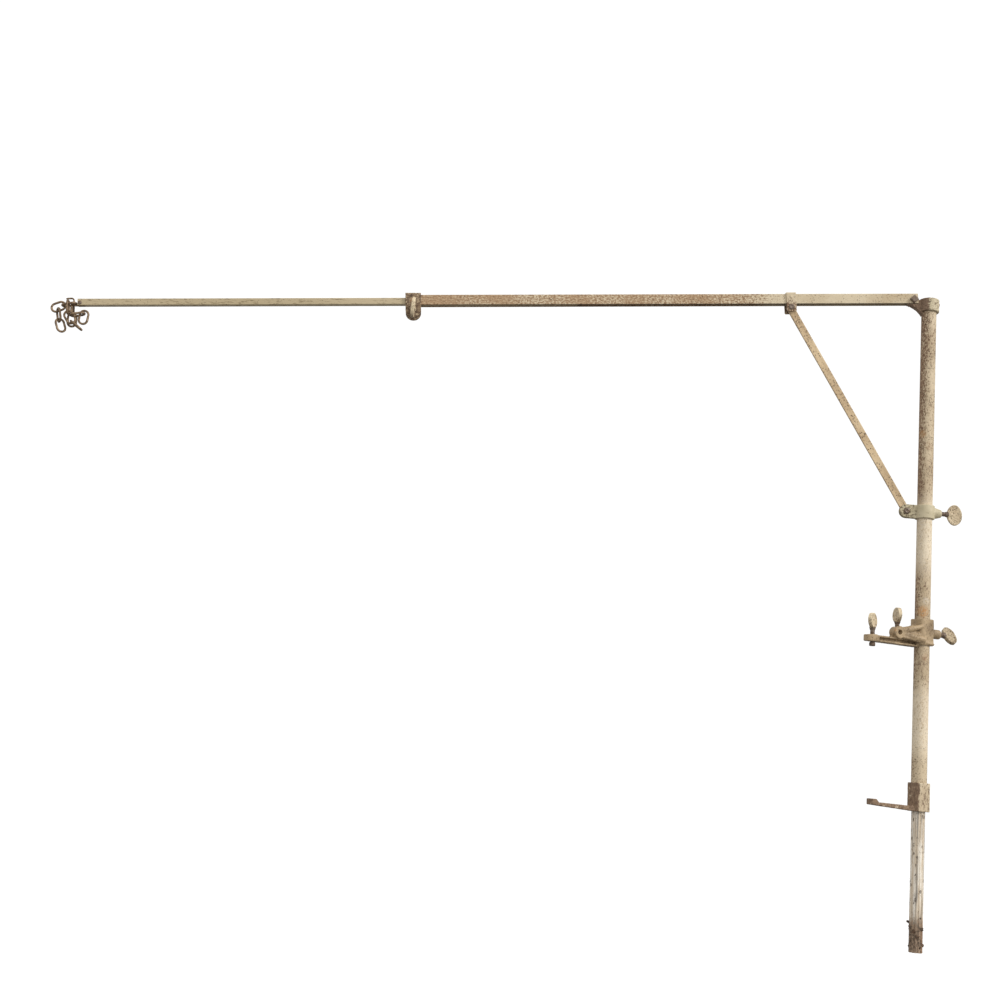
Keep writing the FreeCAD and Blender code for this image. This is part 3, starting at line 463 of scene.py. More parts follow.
@dataclass(frozen=True)
class ChalkedLeg:
    """Chalky pale paint in long streaks, gone to rust at the toe."""

    name: str
    chalk: Colour = (0.68, 0.575, 0.44)
    bright: Colour = (0.86, 0.80, 0.70)
    grey: Colour = (0.20, 0.17, 0.135)
    rust: Colour = (0.36, 0.26, 0.18)
    rust_dark: Colour = (0.095, 0.07, 0.052)
    orange: Colour = (0.38, 0.20, 0.09)
    toe_top: float = -0.188
    toe_fade: float = 0.012

    def build(self) -> bpy.types.Material:
        """Make the material.

        Returns:
            The material.
        """
        s = Shading(self.name)
        here = s.place()
        lines = s.noise(s.stretched(here, (1.0, 1.0, 0.035)), 420.0, 4.0, 0.6)
        streaks = s.noise(s.stretched(here, (1.0, 1.0, 0.08)), 170.0, 5.0, 0.6)
        mottle = s.noise(here, 240.0, 6.0, 0.7)
        grain = s.noise(here, 1400.0, 3.0, 0.6)
        colour = s.blend(s.ramp(streaks, 0.42, 0.58), self.chalk, self.bright)
        colour = s.blend(s.ramp(lines, 0.50, 0.62) * 0.8, colour, self.grey)
        # Painted shade: a dark grey line down the flute, on the front of the leg only.
        flute_shade = 1 - s.ramp(abs(s.along(here, (0.95, -0.31, 0.0))), 0.5 * MM, 1.5 * MM)
        front = s.ramp(s.along(here, (-0.31, -0.95, 0.0)), 0.0, 5.0 * MM)
        colour = s.blend(flute_shade * front * s.ramp(streaks, 0.36, 0.50) * 0.85, colour, self.grey)
        chips = 1 - s.ramp(s.cells(s.stretched(here, (1.0, 1.0, 0.6)), 130.0), 0.20, 0.30)
        colour = s.blend(chips * s.ramp(mottle, 0.42, 0.52) * 0.85, colour, self.rust_dark)
        colour = s.blend(s.ramp(mottle, 0.55, 0.68) * 0.7, colour, self.rust)
        up = s.along(here, (0.0, 0.0, 1.0)) + mottle * 0.05 + streaks * 0.03
        toe_mark = self.toe_top + 0.04
        toe = 1 - s.ramp(up, toe_mark - self.toe_fade, toe_mark + self.toe_fade)
        rusty = s.blend(s.ramp(mottle, 0.40, 0.62), self.rust, self.rust_dark)
        warm_side = s.ramp(s.along(here, (0.95, -0.31, 0.0)), 0.006, 0.011)
        rusty = s.blend(s.ramp(grain, 0.55, 0.7) * 0.6 + warm_side * 0.4, rusty, self.orange)
        colour = s.blend(toe, colour, rusty)
        rough = 0.62 + toe * 0.26
        height = mottle * 0.5 + lines * 0.3 + grain * 0.15 + (1 - toe) * 0.2
        return s.finish(colour, rough, toe * 0.1, height, 0.45 * MM)


class Finishes:
    """Every finish, made when it is first asked for."""

    RECIPES: dict[str, Any] = {
        "post": WornPaint(
            "post_paint", lean=(POST_SHADED_SIDE[0], POST_SHADED_SIDE[1], 0.018), lean_from=0.0066,
            lean_to=0.0236, lean_gain=0.13,
            stretch=(1.0, 1.0, 0.6), wear_from=0.50, wear_to=0.63, broad=26.0, mottle=430.0,
            paint=(0.60, 0.485, 0.325), paint_shade=(0.47, 0.36, 0.225),
            rust=(0.30, 0.19, 0.115), rust_dark=(0.15, 0.09, 0.055),
            pits=330.0, pit_size=0.32, pit_cover=0.46, relief=0.5 * MM,
            stains=(
                Stain((-0.010, -0.009, 0.617), 0.009, (0.50, 0.28, 0.12), 0.6),
                Stain((0.000, -0.012, 0.596), 0.010, (0.44, 0.29, 0.17), 0.4),
                Stain((-0.003, -0.012, 0.312), 0.012, (0.50, 0.26, 0.10), 1.0),
                Stain((0.002, -0.012, 0.330), 0.008, (0.70, 0.62, 0.50), 0.6),
                Stain((0.002, -0.012, 0.236), 0.008, (0.44, 0.25, 0.13), 0.4),
                Stain((0.000, -0.012, 0.440), 0.085, (0.82, 0.71, 0.54), 0.80),
                Stain((0.000, -0.012, 0.130), 0.070, (0.82, 0.71, 0.54), 0.80),
            ),
        ),
        "arm": WornPaint(
            "arm_paint", lean=(-1.0, 0.0, 0.0), lean_from=0.22, lean_to=0.34, lean_gain=0.13,
            stretch=(0.6, 1.0, 1.0), turn=(0.0, DROOP, 0.0), wear_from=0.545, wear_to=0.64,
            # The arm's downward faces get painted shade.
            broad=20.0, mottle=400.0, pits=260.0, pit_size=0.26, pit_cover=0.50, under_shade=0.75,
            paint=(0.63, 0.53, 0.365), paint_shade=(0.50, 0.395, 0.245),
            rust=(0.47, 0.31, 0.18), rust_dark=(0.22, 0.135, 0.075), relief=0.4 * MM,
        ),
        "boom": WornPaint(
            "boom_paint", paint=(0.50, 0.405, 0.255), paint_shade=(0.43, 0.345, 0.205),
            rust=(0.30, 0.22, 0.12), rust_dark=(0.17, 0.125, 0.065), stretch=(0.2, 1.0, 1.0),
            turn=(0.0, DROOP, 0.0), wear_from=0.51, wear_to=0.64, broad=14.0, mottle=380.0,
            pits=300.0, pit_size=0.24, pit_cover=0.52, relief=0.18 * MM, paint_rough=0.46,
        ),
        "brace": WornPaint(
            "brace_paint", paint=(0.63, 0.475, 0.285), paint_shade=(0.50, 0.36, 0.205),
            wear_from=0.53, wear_to=0.66, pits=260.0, pit_size=0.34, pit_cover=0.44,
            mottle=330.0,
        ),
        "hanger": WornPaint(
            "hanger_paint", paint=(0.60, 0.50, 0.34), paint_shade=(0.49, 0.38, 0.24),
            lean=(0.0, 0.0, -1.0), lean_from=-0.838, lean_to=-0.826, lean_gain=0.11,
            wear_from=0.53, wear_to=0.63, mottle=380.0, edge_wear=0.05, pits=420.0,
        ),
        "bracket": WornPaint(
            "bracket_paint", lean=POST_SHADED_SIDE, lean_from=-0.003, lean_to=0.005, lean_gain=0.22,
            paint=(0.60, 0.52, 0.355), paint_shade=(0.50, 0.42, 0.27),
            rust=(0.26, 0.175, 0.115), rust_dark=(0.14, 0.09, 0.058), wear_from=0.52,
            wear_to=0.60, mottle=300.0, pits=380.0, pit_size=0.30, pit_cover=0.46,
            hollow_shade_edge_highlight=0.8, edge_highlight=(0.52, 0.44, 0.28),
        ),
        "foot": WornPaint(
            "foot_paint", lean=POST_SHADED_SIDE, lean_from=-0.003, lean_to=0.003, lean_gain=0.16,
            paint=(0.68, 0.575, 0.41), paint_shade=(0.52, 0.41, 0.27),
            rust=(0.27, 0.18, 0.115), rust_dark=(0.14, 0.09, 0.058), stretch=(1.0, 1.0, 0.5),
            wear_from=0.50, wear_to=0.60, mottle=280.0, pits=420.0, pit_size=0.28,
            pit_cover=0.48, hollow_shade_edge_highlight=0.8, edge_highlight=(0.60, 0.51, 0.36),
        ),
        "end_clamp": WornPaint(
            "end_clamp_paint", paint=(0.50, 0.40, 0.25), paint_shade=(0.36, 0.27, 0.165),
            rust=(0.235, 0.15, 0.09), rust_dark=(0.085, 0.055, 0.035), wear_from=0.39,
            wear_to=0.54, mottle=330.0, pits=430.0, pit_size=0.30, pit_cover=0.45,
            hollow_shade_edge_highlight=0.8, edge_highlight=(0.58, 0.49, 0.33),
            stains=(Stain((-0.895, -0.012, 0.776), 0.006, (0.45, 0.22, 0.09), 0.7),),
        ),
        "ring": WornPaint(
            "ring_paint", paint=(0.60, 0.52, 0.355), paint_shade=(0.44, 0.375, 0.235),
            rust=(0.24, 0.19, 0.115), rust_dark=(0.10, 0.075, 0.048), lean=POST_SHADED_SIDE,
            lean_from=0.0, lean_to=0.028, lean_gain=0.10, wear_from=0.55, wear_to=0.70,
            mottle=260.0, pits=420.0, pit_size=0.18, pit_cover=0.58, hollow_shade_edge_highlight=0.9,
            edge_highlight=(0.62, 0.57, 0.42), relief=0.2 * MM,
        ),
        "jaw": WornPaint(
            "jaw_paint", paint=(0.44, 0.32, 0.185), paint_shade=(0.27, 0.19, 0.105),
            rust=(0.205, 0.13, 0.07), rust_dark=(0.10, 0.063, 0.036), wear_from=0.49,
            wear_to=0.66, mottle=300.0, broad=30.0, pits=560.0, pit_size=0.26, pit_cover=0.50,
            hollow_shade_edge_highlight=0.9, edge_highlight=(0.50, 0.40, 0.26), relief=0.4 * MM,
            stains=(
                Stain((-0.060, -0.037, 0.277), 0.007, (0.50, 0.245, 0.09), 0.9),
                Stain((0.016, -0.006, 0.262), 0.006, (0.42, 0.24, 0.11), 0.6),
            ),
        ),
        "spade": WornPaint(
            "spade_paint", paint=(0.68, 0.56, 0.375), paint_shade=(0.50, 0.385, 0.24),
            rust=(0.25, 0.175, 0.105), rust_dark=(0.11, 0.072, 0.045), wear_from=0.48,
            wear_to=0.64, mottle=360.0, pits=420.0, pit_size=0.34, pit_cover=0.48,
            edge_wear=0.03, hollow_shade_edge_highlight=0.9, edge_highlight=(0.62, 0.53, 0.36), relief=0.4 * MM,
        ),
        # A darker copy of the spade paint, used for the jaw lock's spade.
        "darker_spade": WornPaint(
            "dull_spade_paint", paint=(0.46, 0.365, 0.23), paint_shade=(0.32, 0.24, 0.145),
            rust=(0.20, 0.14, 0.085), rust_dark=(0.09, 0.06, 0.038), wear_from=0.46,
            wear_to=0.60, mottle=360.0, pits=420.0, pit_size=0.34, pit_cover=0.48,
            edge_wear=0.03, hollow_shade_edge_highlight=0.9, edge_highlight=(0.60, 0.50, 0.34), relief=0.4 * MM,
        ),
        "neck": BrownedSteel("neck_steel", bloom_share=0.35, glint_share=0.35),
        "steel": BrownedSteel("fastener_steel"),
        "wire": BrownedSteel(
            "wire_rust", clean=(0.29, 0.20, 0.12), brown=(0.11, 0.067, 0.04),
            bloom=(0.34, 0.175, 0.08), glint=(0.60, 0.47, 0.26), bloom_share=0.5,
            glint_share=0.75, grain=700.0, relief=0.3 * MM,
        ),
        "pin": BrownedSteel("red_pin", clean=(0.26, 0.09, 0.05), brown=(0.13, 0.05, 0.03)),
        "leg": ChalkedLeg("leg_chalk"),
        "scale": BrownedSteel(
            "rust_scale", clean=(0.15, 0.09, 0.055), brown=(0.06, 0.038, 0.026),
            bloom=(0.36, 0.17, 0.07), bloom_share=0.7,
        ),
    }

    def __init__(self) -> None:
        """Start with nothing made."""
        self.made: dict[str, bpy.types.Material] = {}

    def get(self, name: str) -> bpy.types.Material:
        """The material of that name."""
        if name not in self.made:
            self.made[name] = self.RECIPES[name].build()
        return self.made[name]


# --- the bench: modelling moves ---


@dataclass(frozen=True)
class StandIn:
    """A piece that is made from a frame node and stands for it."""

    node: str
    name: str
    body: str
    finish: str
    slot: Slot
    shade: float = 40.0


class Bench:
    """The modelling moves that every piece is made with."""

    def __init__(self, frame: dict[str, Any]) -> None:
        """Keep the frame and the finishes at hand.
        """
        self.nodes = frame["nodes"]
        self.joints = {joint["name"]: joint for joint in frame["joints"]}
        self.finishes = Finishes()

    def hold(self, *objects: Piece) -> None:
        """Select only these objects, the first one active."""
        bpy.ops.object.select_all(action="DESELECT")
        for obj in objects:
            obj.select_set(True)
        bpy.context.view_layer.objects.active = objects[0]

    def add(self, name: str, primitive: Callable[..., Any], **shape: Any) -> Piece:
        """Add a primitive and bake its place into its mesh.

        Args:
            name: The piece's name.
            primitive: The operator that adds it.
            shape: What the operator is given.

        Returns:
            The new piece.
        """
        bpy.ops.object.select_all(action="DESELECT")
        primitive(**shape)
        obj = bpy.context.active_object
        self.hold(obj)
        bpy.ops.object.transform_apply(location=True, rotation=True, scale=True)
        obj.name = name
        return obj

    def cube(self, name: str, size: Triple, centre: Triple) -> Piece:
        """A block of that size about a centre."""
        return self.add(
            name, bpy.ops.mesh.primitive_cube_add, size=1.0, location=centre, scale=size
        )

    def rod(
        self, name: str, radius: float, low: float, high: float, sides: int = 40
    ) -> Piece:
        """A round bar along Z from low to high."""
        return self.add(
            name, bpy.ops.mesh.primitive_cylinder_add, vertices=sides, radius=radius,
            depth=high - low, location=(0, 0, (low + high) / 2),
        )

    def cone(
        self, name: str, radii: tuple[float, float], low: float, high: float, sides: int = 40
    ) -> Piece:
        """A cone along Z with its two radii."""
        return self.add(
            name, bpy.ops.mesh.primitive_cone_add, vertices=sides, radius1=radii[0],
            radius2=radii[1], depth=high - low, location=(0, 0, (low + high) / 2),
        )

    def ball(self, name: str, radii: Triple, centre: Triple) -> Piece:
        """An ellipsoid about a centre."""
        return self.add(
            name, bpy.ops.mesh.primitive_uv_sphere_add, segments=40, ring_count=20, radius=1.0,
            location=centre, scale=radii,
        )

    def grid(self, name: str, along: int, across: int) -> Piece:
        """A flat grid of side 1, to be rolled or curled."""
        return self.add(
            name, bpy.ops.mesh.primitive_grid_add, x_subdivisions=along, y_subdivisions=across,
            size=1.0,
        )

    def open(self, obj: Piece) -> None:
        """Enter edit mode with the whole mesh selected."""
        self.hold(obj)
        bpy.ops.object.mode_set(mode="EDIT")
        bpy.ops.mesh.select_all(action="SELECT")

    def copy_node(self, node: str, name: str) -> Piece:
        """A merged copy of a frame node's mesh, free to be changed."""
        obj = bpy.data.objects.new(name, self.nodes[node].data.copy())
        bpy.context.scene.collection.objects.link(obj)
        self.open(obj)
        bpy.ops.mesh.remove_doubles(threshold=MERGE)
        self.leave()
        obj.data.materials.clear()
        return obj

    def pick(self, obj: Piece, wanted: Callable[[Vector, Vector], bool]) -> None:
        """Enter edit mode with the faces selected that pass a test.

        Args:
            obj: The object to edit.
            wanted: Told each face's centre and normal.
        """
        self.hold(obj)
        bpy.ops.object.mode_set(mode="EDIT")
        bpy.ops.mesh.select_mode(type="FACE")
        bpy.ops.mesh.select_all(action="DESELECT")
        bpy.ops.object.mode_set(mode="OBJECT")
        for face in obj.data.polygons:
            face.select = wanted(face.center, face.normal)
        bpy.ops.object.mode_set(mode="EDIT")

    def leave(self) -> None:
        """Go back to object mode."""
        bpy.ops.object.mode_set(mode="OBJECT")

    def move(self, obj: Piece, matrix: Matrix) -> Piece:
        """Move a piece's mesh by a matrix."""
        obj.data.transform(matrix)
        obj.data.update()
        return obj

    def modify(self, obj: Piece, kind: str, **settings: Any) -> None:
        """Add a modifier and apply it."""
        self.hold(obj)
        modifier = obj.modifiers.new(kind.lower(), kind)
        for name, value in settings.items():
            setattr(modifier, name, value)
        bpy.ops.object.modifier_apply(modifier=modifier.name)

    def carve(self, obj: Piece, tool: Piece) -> None:
        """Cut a piece with a tool and throw the tool away."""
        self.modify(obj, "BOOLEAN", operation="DIFFERENCE", object=tool, solver="EXACT")
        bpy.data.objects.remove(tool)

    def join(self, *objects: Piece) -> Piece:
        """Make one object of several."""
        self.hold(*objects)
        bpy.ops.object.join()
        return objects[0]

    def lumps(self, obj: Piece, size: float, height: float, depth: int = 2) -> None:
        """Push the surface in and out by smooth noise.

        Args:
            obj: The piece.
            size: Breadth of one lump.
            height: Full height of the relief.
            depth: Octaves of the noise.
        """
        texture = bpy.data.textures.new(obj.name + "_lumps", "CLOUDS")
        texture.noise_scale = size
        texture.noise_depth = depth
        self.modify(
            obj, "DISPLACE", texture=texture, texture_coords="GLOBAL", strength=height,
            mid_level=0.5,
        )
        bpy.data.textures.remove(texture)

    def soften(self, obj: Piece, grain: float, melt: int) -> None:
        """Skin a piece anew with faces of a size, and melt its corners."""
        self.modify(obj, "REMESH", mode="VOXEL", voxel_size=grain)
        self.modify(obj, "SMOOTH", factor=0.5, iterations=melt)

    def cast(
        self, obj: Piece, grain: float, melt: int, lump: float, pits: float
    ) -> Piece:
        """Turn sharp solids into one casting with soft edges and a sandy skin.

        Args:
            obj: The piece.
            grain: Size of the new mesh's faces.
            melt: How many times its corners are softened.
            lump: Height of broad unevenness.
            pits: Height of the sandy skin.

        Returns:
            The piece.
        """
        self.soften(obj, grain, melt)
        self.lumps(obj, LUMP_SIZE, lump)
        self.lumps(obj, SAND_SIZE, pits, 3)
        return obj

    def ease_edges(self, obj: Piece, width: float) -> Piece:
        """Dissolve flat faces, then round the sharp edges a little."""
        self.open(obj)
        bpy.ops.mesh.dissolve_limited(angle_limit=FLAT_ANGLE)
        self.leave()
        self.modify(
            obj, "BEVEL", width=width, segments=3, limit_method="ANGLE",
            angle_limit=SHARP_ANGLE, use_clamp_overlap=True,
        )
        return obj

    def smooth(self, obj: Piece, degrees: float = 40.0) -> None:
        """Shade a piece smooth up to an angle."""
        self.hold(obj)
        bpy.ops.object.shade_smooth_by_angle(angle=math.radians(degrees))

    def place(
        self, obj: Piece, body: str, finish: str, slot: Slot, *stands_for: str
    ) -> None:
        """Give a piece its finish, its body and the nodes it stands for.

        Args:
            obj: The finished piece.
            body: The frame body it rides on.
            finish: Its finish by name.
            slot: Its material slot; not used.
            stands_for: Frame nodes that it replaces.
        """
        if not obj.data.materials:
            obj.data.materials.append(self.finishes.get(finish))
        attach(obj, body)
        if stands_for:
            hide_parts(*stands_for)
        LOG.info("%s: %d faces on %s", obj.name, len(obj.data.polygons), body)

    def set_up(self, obj: Piece, made: StandIn) -> None:
        """Smooth a piece and put it in its node's place."""
        self.smooth(obj, made.shade)
        self.place(obj, made.body, made.finish, made.slot, made.node)

    def casting(self, made: StandIn, grain: float, melt: int, lump: float, pits: float) -> None:
        """Stand a rough casting in for a node, with what cast() takes in millimetres."""
        obj = self.copy_node(made.node, made.name)
        self.set_up(self.cast(obj, grain * MM, melt, lump * MM, pits * MM), made)

    def eased(self, made: StandIn, width: float) -> None:
        """Stand a copy with rounded edges in for a node."""
        self.set_up(self.ease_edges(self.copy_node(made.node, made.name), width), made)

    def square_nut(
        self, name: str, side: float, low: float, high: float, inset: float, bore: float,
        grain: float,
    ) -> Piece:
        """A square nut along Z with its outer corners turned down.

        Args:
            name: The piece's name.
            side: Width across flats.
            low: Its seat.
            high: Its outer face.
            inset: Breadth of the turned-down border, as a share of the side.
            bore: Radius of its hole.
            grain: Size of the new mesh's faces.

        Returns:
            The nut.
        """
        nut = self.cube(name, (side, side, high - low), (0, 0, (low + high) / 2))
        self.pick(nut, lambda centre, normal: normal.z > FACES_UP)
        bpy.ops.mesh.inset(thickness=side * inset, depth=0.0)
        self.leave()
        for vertex in nut.data.vertices:
            if vertex.co.z > high - SEAM and abs(vertex.co.x) > side * 0.45:
                vertex.co.z -= CORNER_DROP
        self.carve(nut, self.rod("hole", bore, low - MM, high + MM))
        return self.cast(nut, grain, 2, 0.4 * MM, 0.2 * MM)

    def paint(self, finish: str, node: str) -> None:
        """Give a frame node a better finish."""
        data = self.nodes[node].data
        data.materials.clear()
        data.materials.append(self.finishes.get(finish))
        LOG.info("%s painted with %s", node, finish)


def frame_at(origin: Vector, along: Vector, across: Vector) -> Matrix:
    """A matrix that lays local Z along one direction and local X near another."""
    z_axis = along.normalized()
    x_axis = (across - across.dot(z_axis) * z_axis).normalized()
    y_axis = z_axis.cross(x_axis)
    turn = Matrix((x_axis, y_axis, z_axis)).transposed().to_4x4()
    return Matrix.Translation(origin) @ turn


# --- turned, threaded and cast parts ---


@dataclass
class ThreadedRod:
    """A screw thread along Z, cut as a true helix."""

    crest: float = 3.97 * MM
    depth: float = 0.42 * MM
    pitch: float = 1.5 * MM
    sides: int = 30
    rings_per_turn: int = 6

    def build(self, bench: Bench, name: str, low: float, high: float) -> Piece:
        """Roll a grid into the thread and close its ends.

        Args:
            bench: The modelling moves.
            name: The piece's name.
            low: Lower end.
            high: Upper end.

        Returns:
            The rod.
        """
        rings = max(8, int((high - low) / self.pitch * self.rings_per_turn))
        rod = bench.grid(name, self.sides, rings)
        for vertex in rod.data.vertices:
            share = vertex.co.x + 0.5
            height = low + (vertex.co.y + 0.5) * (high - low)
            phase = (height / self.pitch - share) % 1.0
            groove = 1.0 - abs(2.0 * phase - 1.0)
            end = min(1.0, (height - low) / self.pitch, (high - height) / self.pitch)
            radius = self.crest - self.depth * max(groove, 1.0 - end)
            turn = 2.0 * math.pi * share
            vertex.co = Vector((radius * math.cos(turn), radius * math.sin(turn), height))
        bench.open(rod)
        bpy.ops.mesh.remove_doubles(threshold=SEAM)
        bpy.ops.mesh.select_all(action="SELECT")
        bpy.ops.mesh.fill_holes(sides=0)
        bpy.ops.mesh.select_all(action="SELECT")
        bpy.ops.mesh.normals_make_consistent(inside=False)
        bench.leave()
        bench.smooth(rod, 50.0)
        return rod


@dataclass
class ThumbScrew:
    """A cast thumbscrew: dished oval spade, conical neck and threaded shank."""

    node: str
    joint: str
    body: str
    neck: float = 4.0 * MM
    spigot: float = 0.0
    lean: float = 0.0
    across: float = 35.0 * MM
    along: float = 25.0 * MM
    thick: float = 6.0 * MM
    sink: float = 0.6 * MM
    neck_r: float = 5.5 * MM
    collar_r: float = 4.1 * MM
    tip_r: float = 2.45 * MM
    rim: float = 2.2 * MM
    dish: float = 0.9 * MM
    root: float = 0.42
    finish: str = "spade"

    def place_in(self, bench: Bench) -> tuple[Matrix, float]:
        """Read the screw's line, its spade's heading and its length from the frame.

        Args:
            bench: The modelling moves.

        Returns:
            The matrix from the screw's own frame, and its whole length.
        """
        joint = bench.joints[self.joint]
        start, axis = Vector(joint["pos_m"]), Vector(joint["axis"]).normalized()
        points = [vertex.co - start for vertex in bench.nodes[self.node].data.vertices]
        wide = max(points, key=lambda point: (point - point.dot(axis) * axis).length)
        heights = [point.dot(axis) for point in points]
        if wide.dot(axis) < (min(heights) + max(heights)) / 2:
            axis = -axis
            heights = [-height for height in heights]
        across = wide - wide.dot(axis) * axis
        tip = start + axis * min(heights)
        return frame_at(tip, axis, across), max(heights) - min(heights)

    def spade(self, bench: Bench, base: float) -> Piece:
        """The oval blade, dished on both faces and fattened at its root."""
        middle = base + self.along / 2 - self.sink
        blade = bench.rod(self.node + "_spade", 1.0, -self.thick / 2, self.thick / 2, 64)
        bench.move(blade, Matrix.Diagonal((self.across / 2, self.along / 2, 1.0, 1.0)))
        bench.pick(blade, lambda centre, normal: abs(normal.z) > FACES_UP)
        bpy.ops.mesh.inset(thickness=self.rim, depth=0.0, use_individual=True)
        bpy.ops.mesh.inset(thickness=self.rim, depth=-self.dish, use_individual=True)
        bench.leave()
        bench.move(blade, Matrix.Translation((0, 0, middle)) @ Matrix.Rotation(math.pi / 2, 4, "X"))
        radii = (self.neck_r, self.thick * 0.45)
        root = bench.cone(self.node + "_root", radii, base, base + self.along * self.root)
        blade = bench.join(blade, root)
        bench.cast(blade, 0.5 * MM, 7, 0.7 * MM, 0.28 * MM)
        half = self.across / 2
        for vertex in blade.data.vertices:
            rise = (vertex.co.z - base) / self.along
            vertex.co.x += self.lean * half * rise * rise
        return blade

    def build(self, bench: Bench) -> None:
        """Make the three pieces of the screw and lay them in place."""
        matrix, length = self.place_in(bench)
        shank = length - self.neck - self.along + self.sink
        spade = self.spade(bench, shank + self.neck)
        radii = (self.collar_r, self.neck_r)
        low, high = shank - 0.3 * MM, shank + self.neck + 1.2 * MM
        collar = bench.cone(self.node + "_neck", radii, low, high)
        bench.cast(collar, 0.4 * MM, 3, 0.4 * MM, 0.25 * MM)
        thread = ThreadedRod().build(bench, self.node + "_thread", self.spigot, shank)
        pieces = [spade, collar, thread]
        if self.spigot:
            tip = bench.rod(self.node + "_tip", self.tip_r, 0.0, self.spigot + self.sink)
            pieces.append(bench.ease_edges(tip, 0.4 * MM))
        for piece in pieces:
            bench.move(piece, matrix)
            bench.smooth(piece, 60.0)
        bench.place(spade, self.body, self.finish, Slot.CREAM, self.node)
        for piece in pieces[1:]:
            bench.place(piece, self.body, "neck", Slot.STEEL)


@dataclass
class Rivet:
    """A hammered rivet across the object, headed at both ends."""

    node: str
    body: str
    seat: float
    head_r: float
    head_h: float
    shank_r: float
    inner: float = 0.0
    ringed: bool = False
    finish: str = "steel"

    def head(self, bench: Bench, side: int) -> Piece:
        """One head with its half of the shank, hammered out of round.

        Args:
            bench: The modelling moves.
            side: 1 behind, -1 in front.

        Returns:
            The head, along Z from the middle.
        """
        name = self.node + ("_back" if side > 0 else "_front")
        shank = bench.rod(name, self.shank_r * 0.98, self.inner, self.seat + self.head_h * 0.4)
        dome = bench.ball(
            "dome", (self.head_r, self.head_r, self.head_h), (0, 0, self.seat)
        )
        bench.pick(dome, lambda centre, normal: centre.z < self.seat)
        bpy.ops.mesh.delete(type="FACE")
        bpy.ops.mesh.select_all(action="SELECT")
        bpy.ops.mesh.fill_holes(sides=0)
        bench.leave()
        shank = bench.join(shank, dome)
        if self.ringed:
            bench.modify(shank, "REMESH", mode="VOXEL", voxel_size=0.25 * MM)
            cup = bench.ball(
                "cup", (self.head_r * 0.5, self.head_r * 0.5, self.head_h * 0.55),
                (0, 0, self.seat + self.head_h),
            )
            bench.carve(shank, cup)
        return bench.cast(shank, 0.28 * MM, 2, 0.35 * MM, 0.15 * MM)

    def build(self, bench: Bench, centres: Sequence[Vector]) -> None:
        """Make every head about the given centres and join them.

        Args:
            bench: The modelling moves.
            centres: Middle of each rivet.
        """
        heads = []
        for centre in centres:
            for side in (-1, 1):
                matrix = frame_at(centre, Vector((0, side, 0)), Vector((1, 0, 0)))
                heads.append(bench.move(self.head(bench, side), matrix))
        piece = bench.join(*heads)
        piece.name = self.node + "_hammered"
        bench.smooth(piece)
        bench.place(piece, self.body, self.finish, Slot.STEEL, self.node)


def spun(degrees: float) -> Matrix:
    """A turn about Z."""
    return Matrix.Rotation(math.radians(degrees), 4, "Z")


def middle(node: str) -> Vector:
    """The middle of a node's box."""
    low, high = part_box(node)
    return (low + high) / 2


# --- sub-assemblies ---


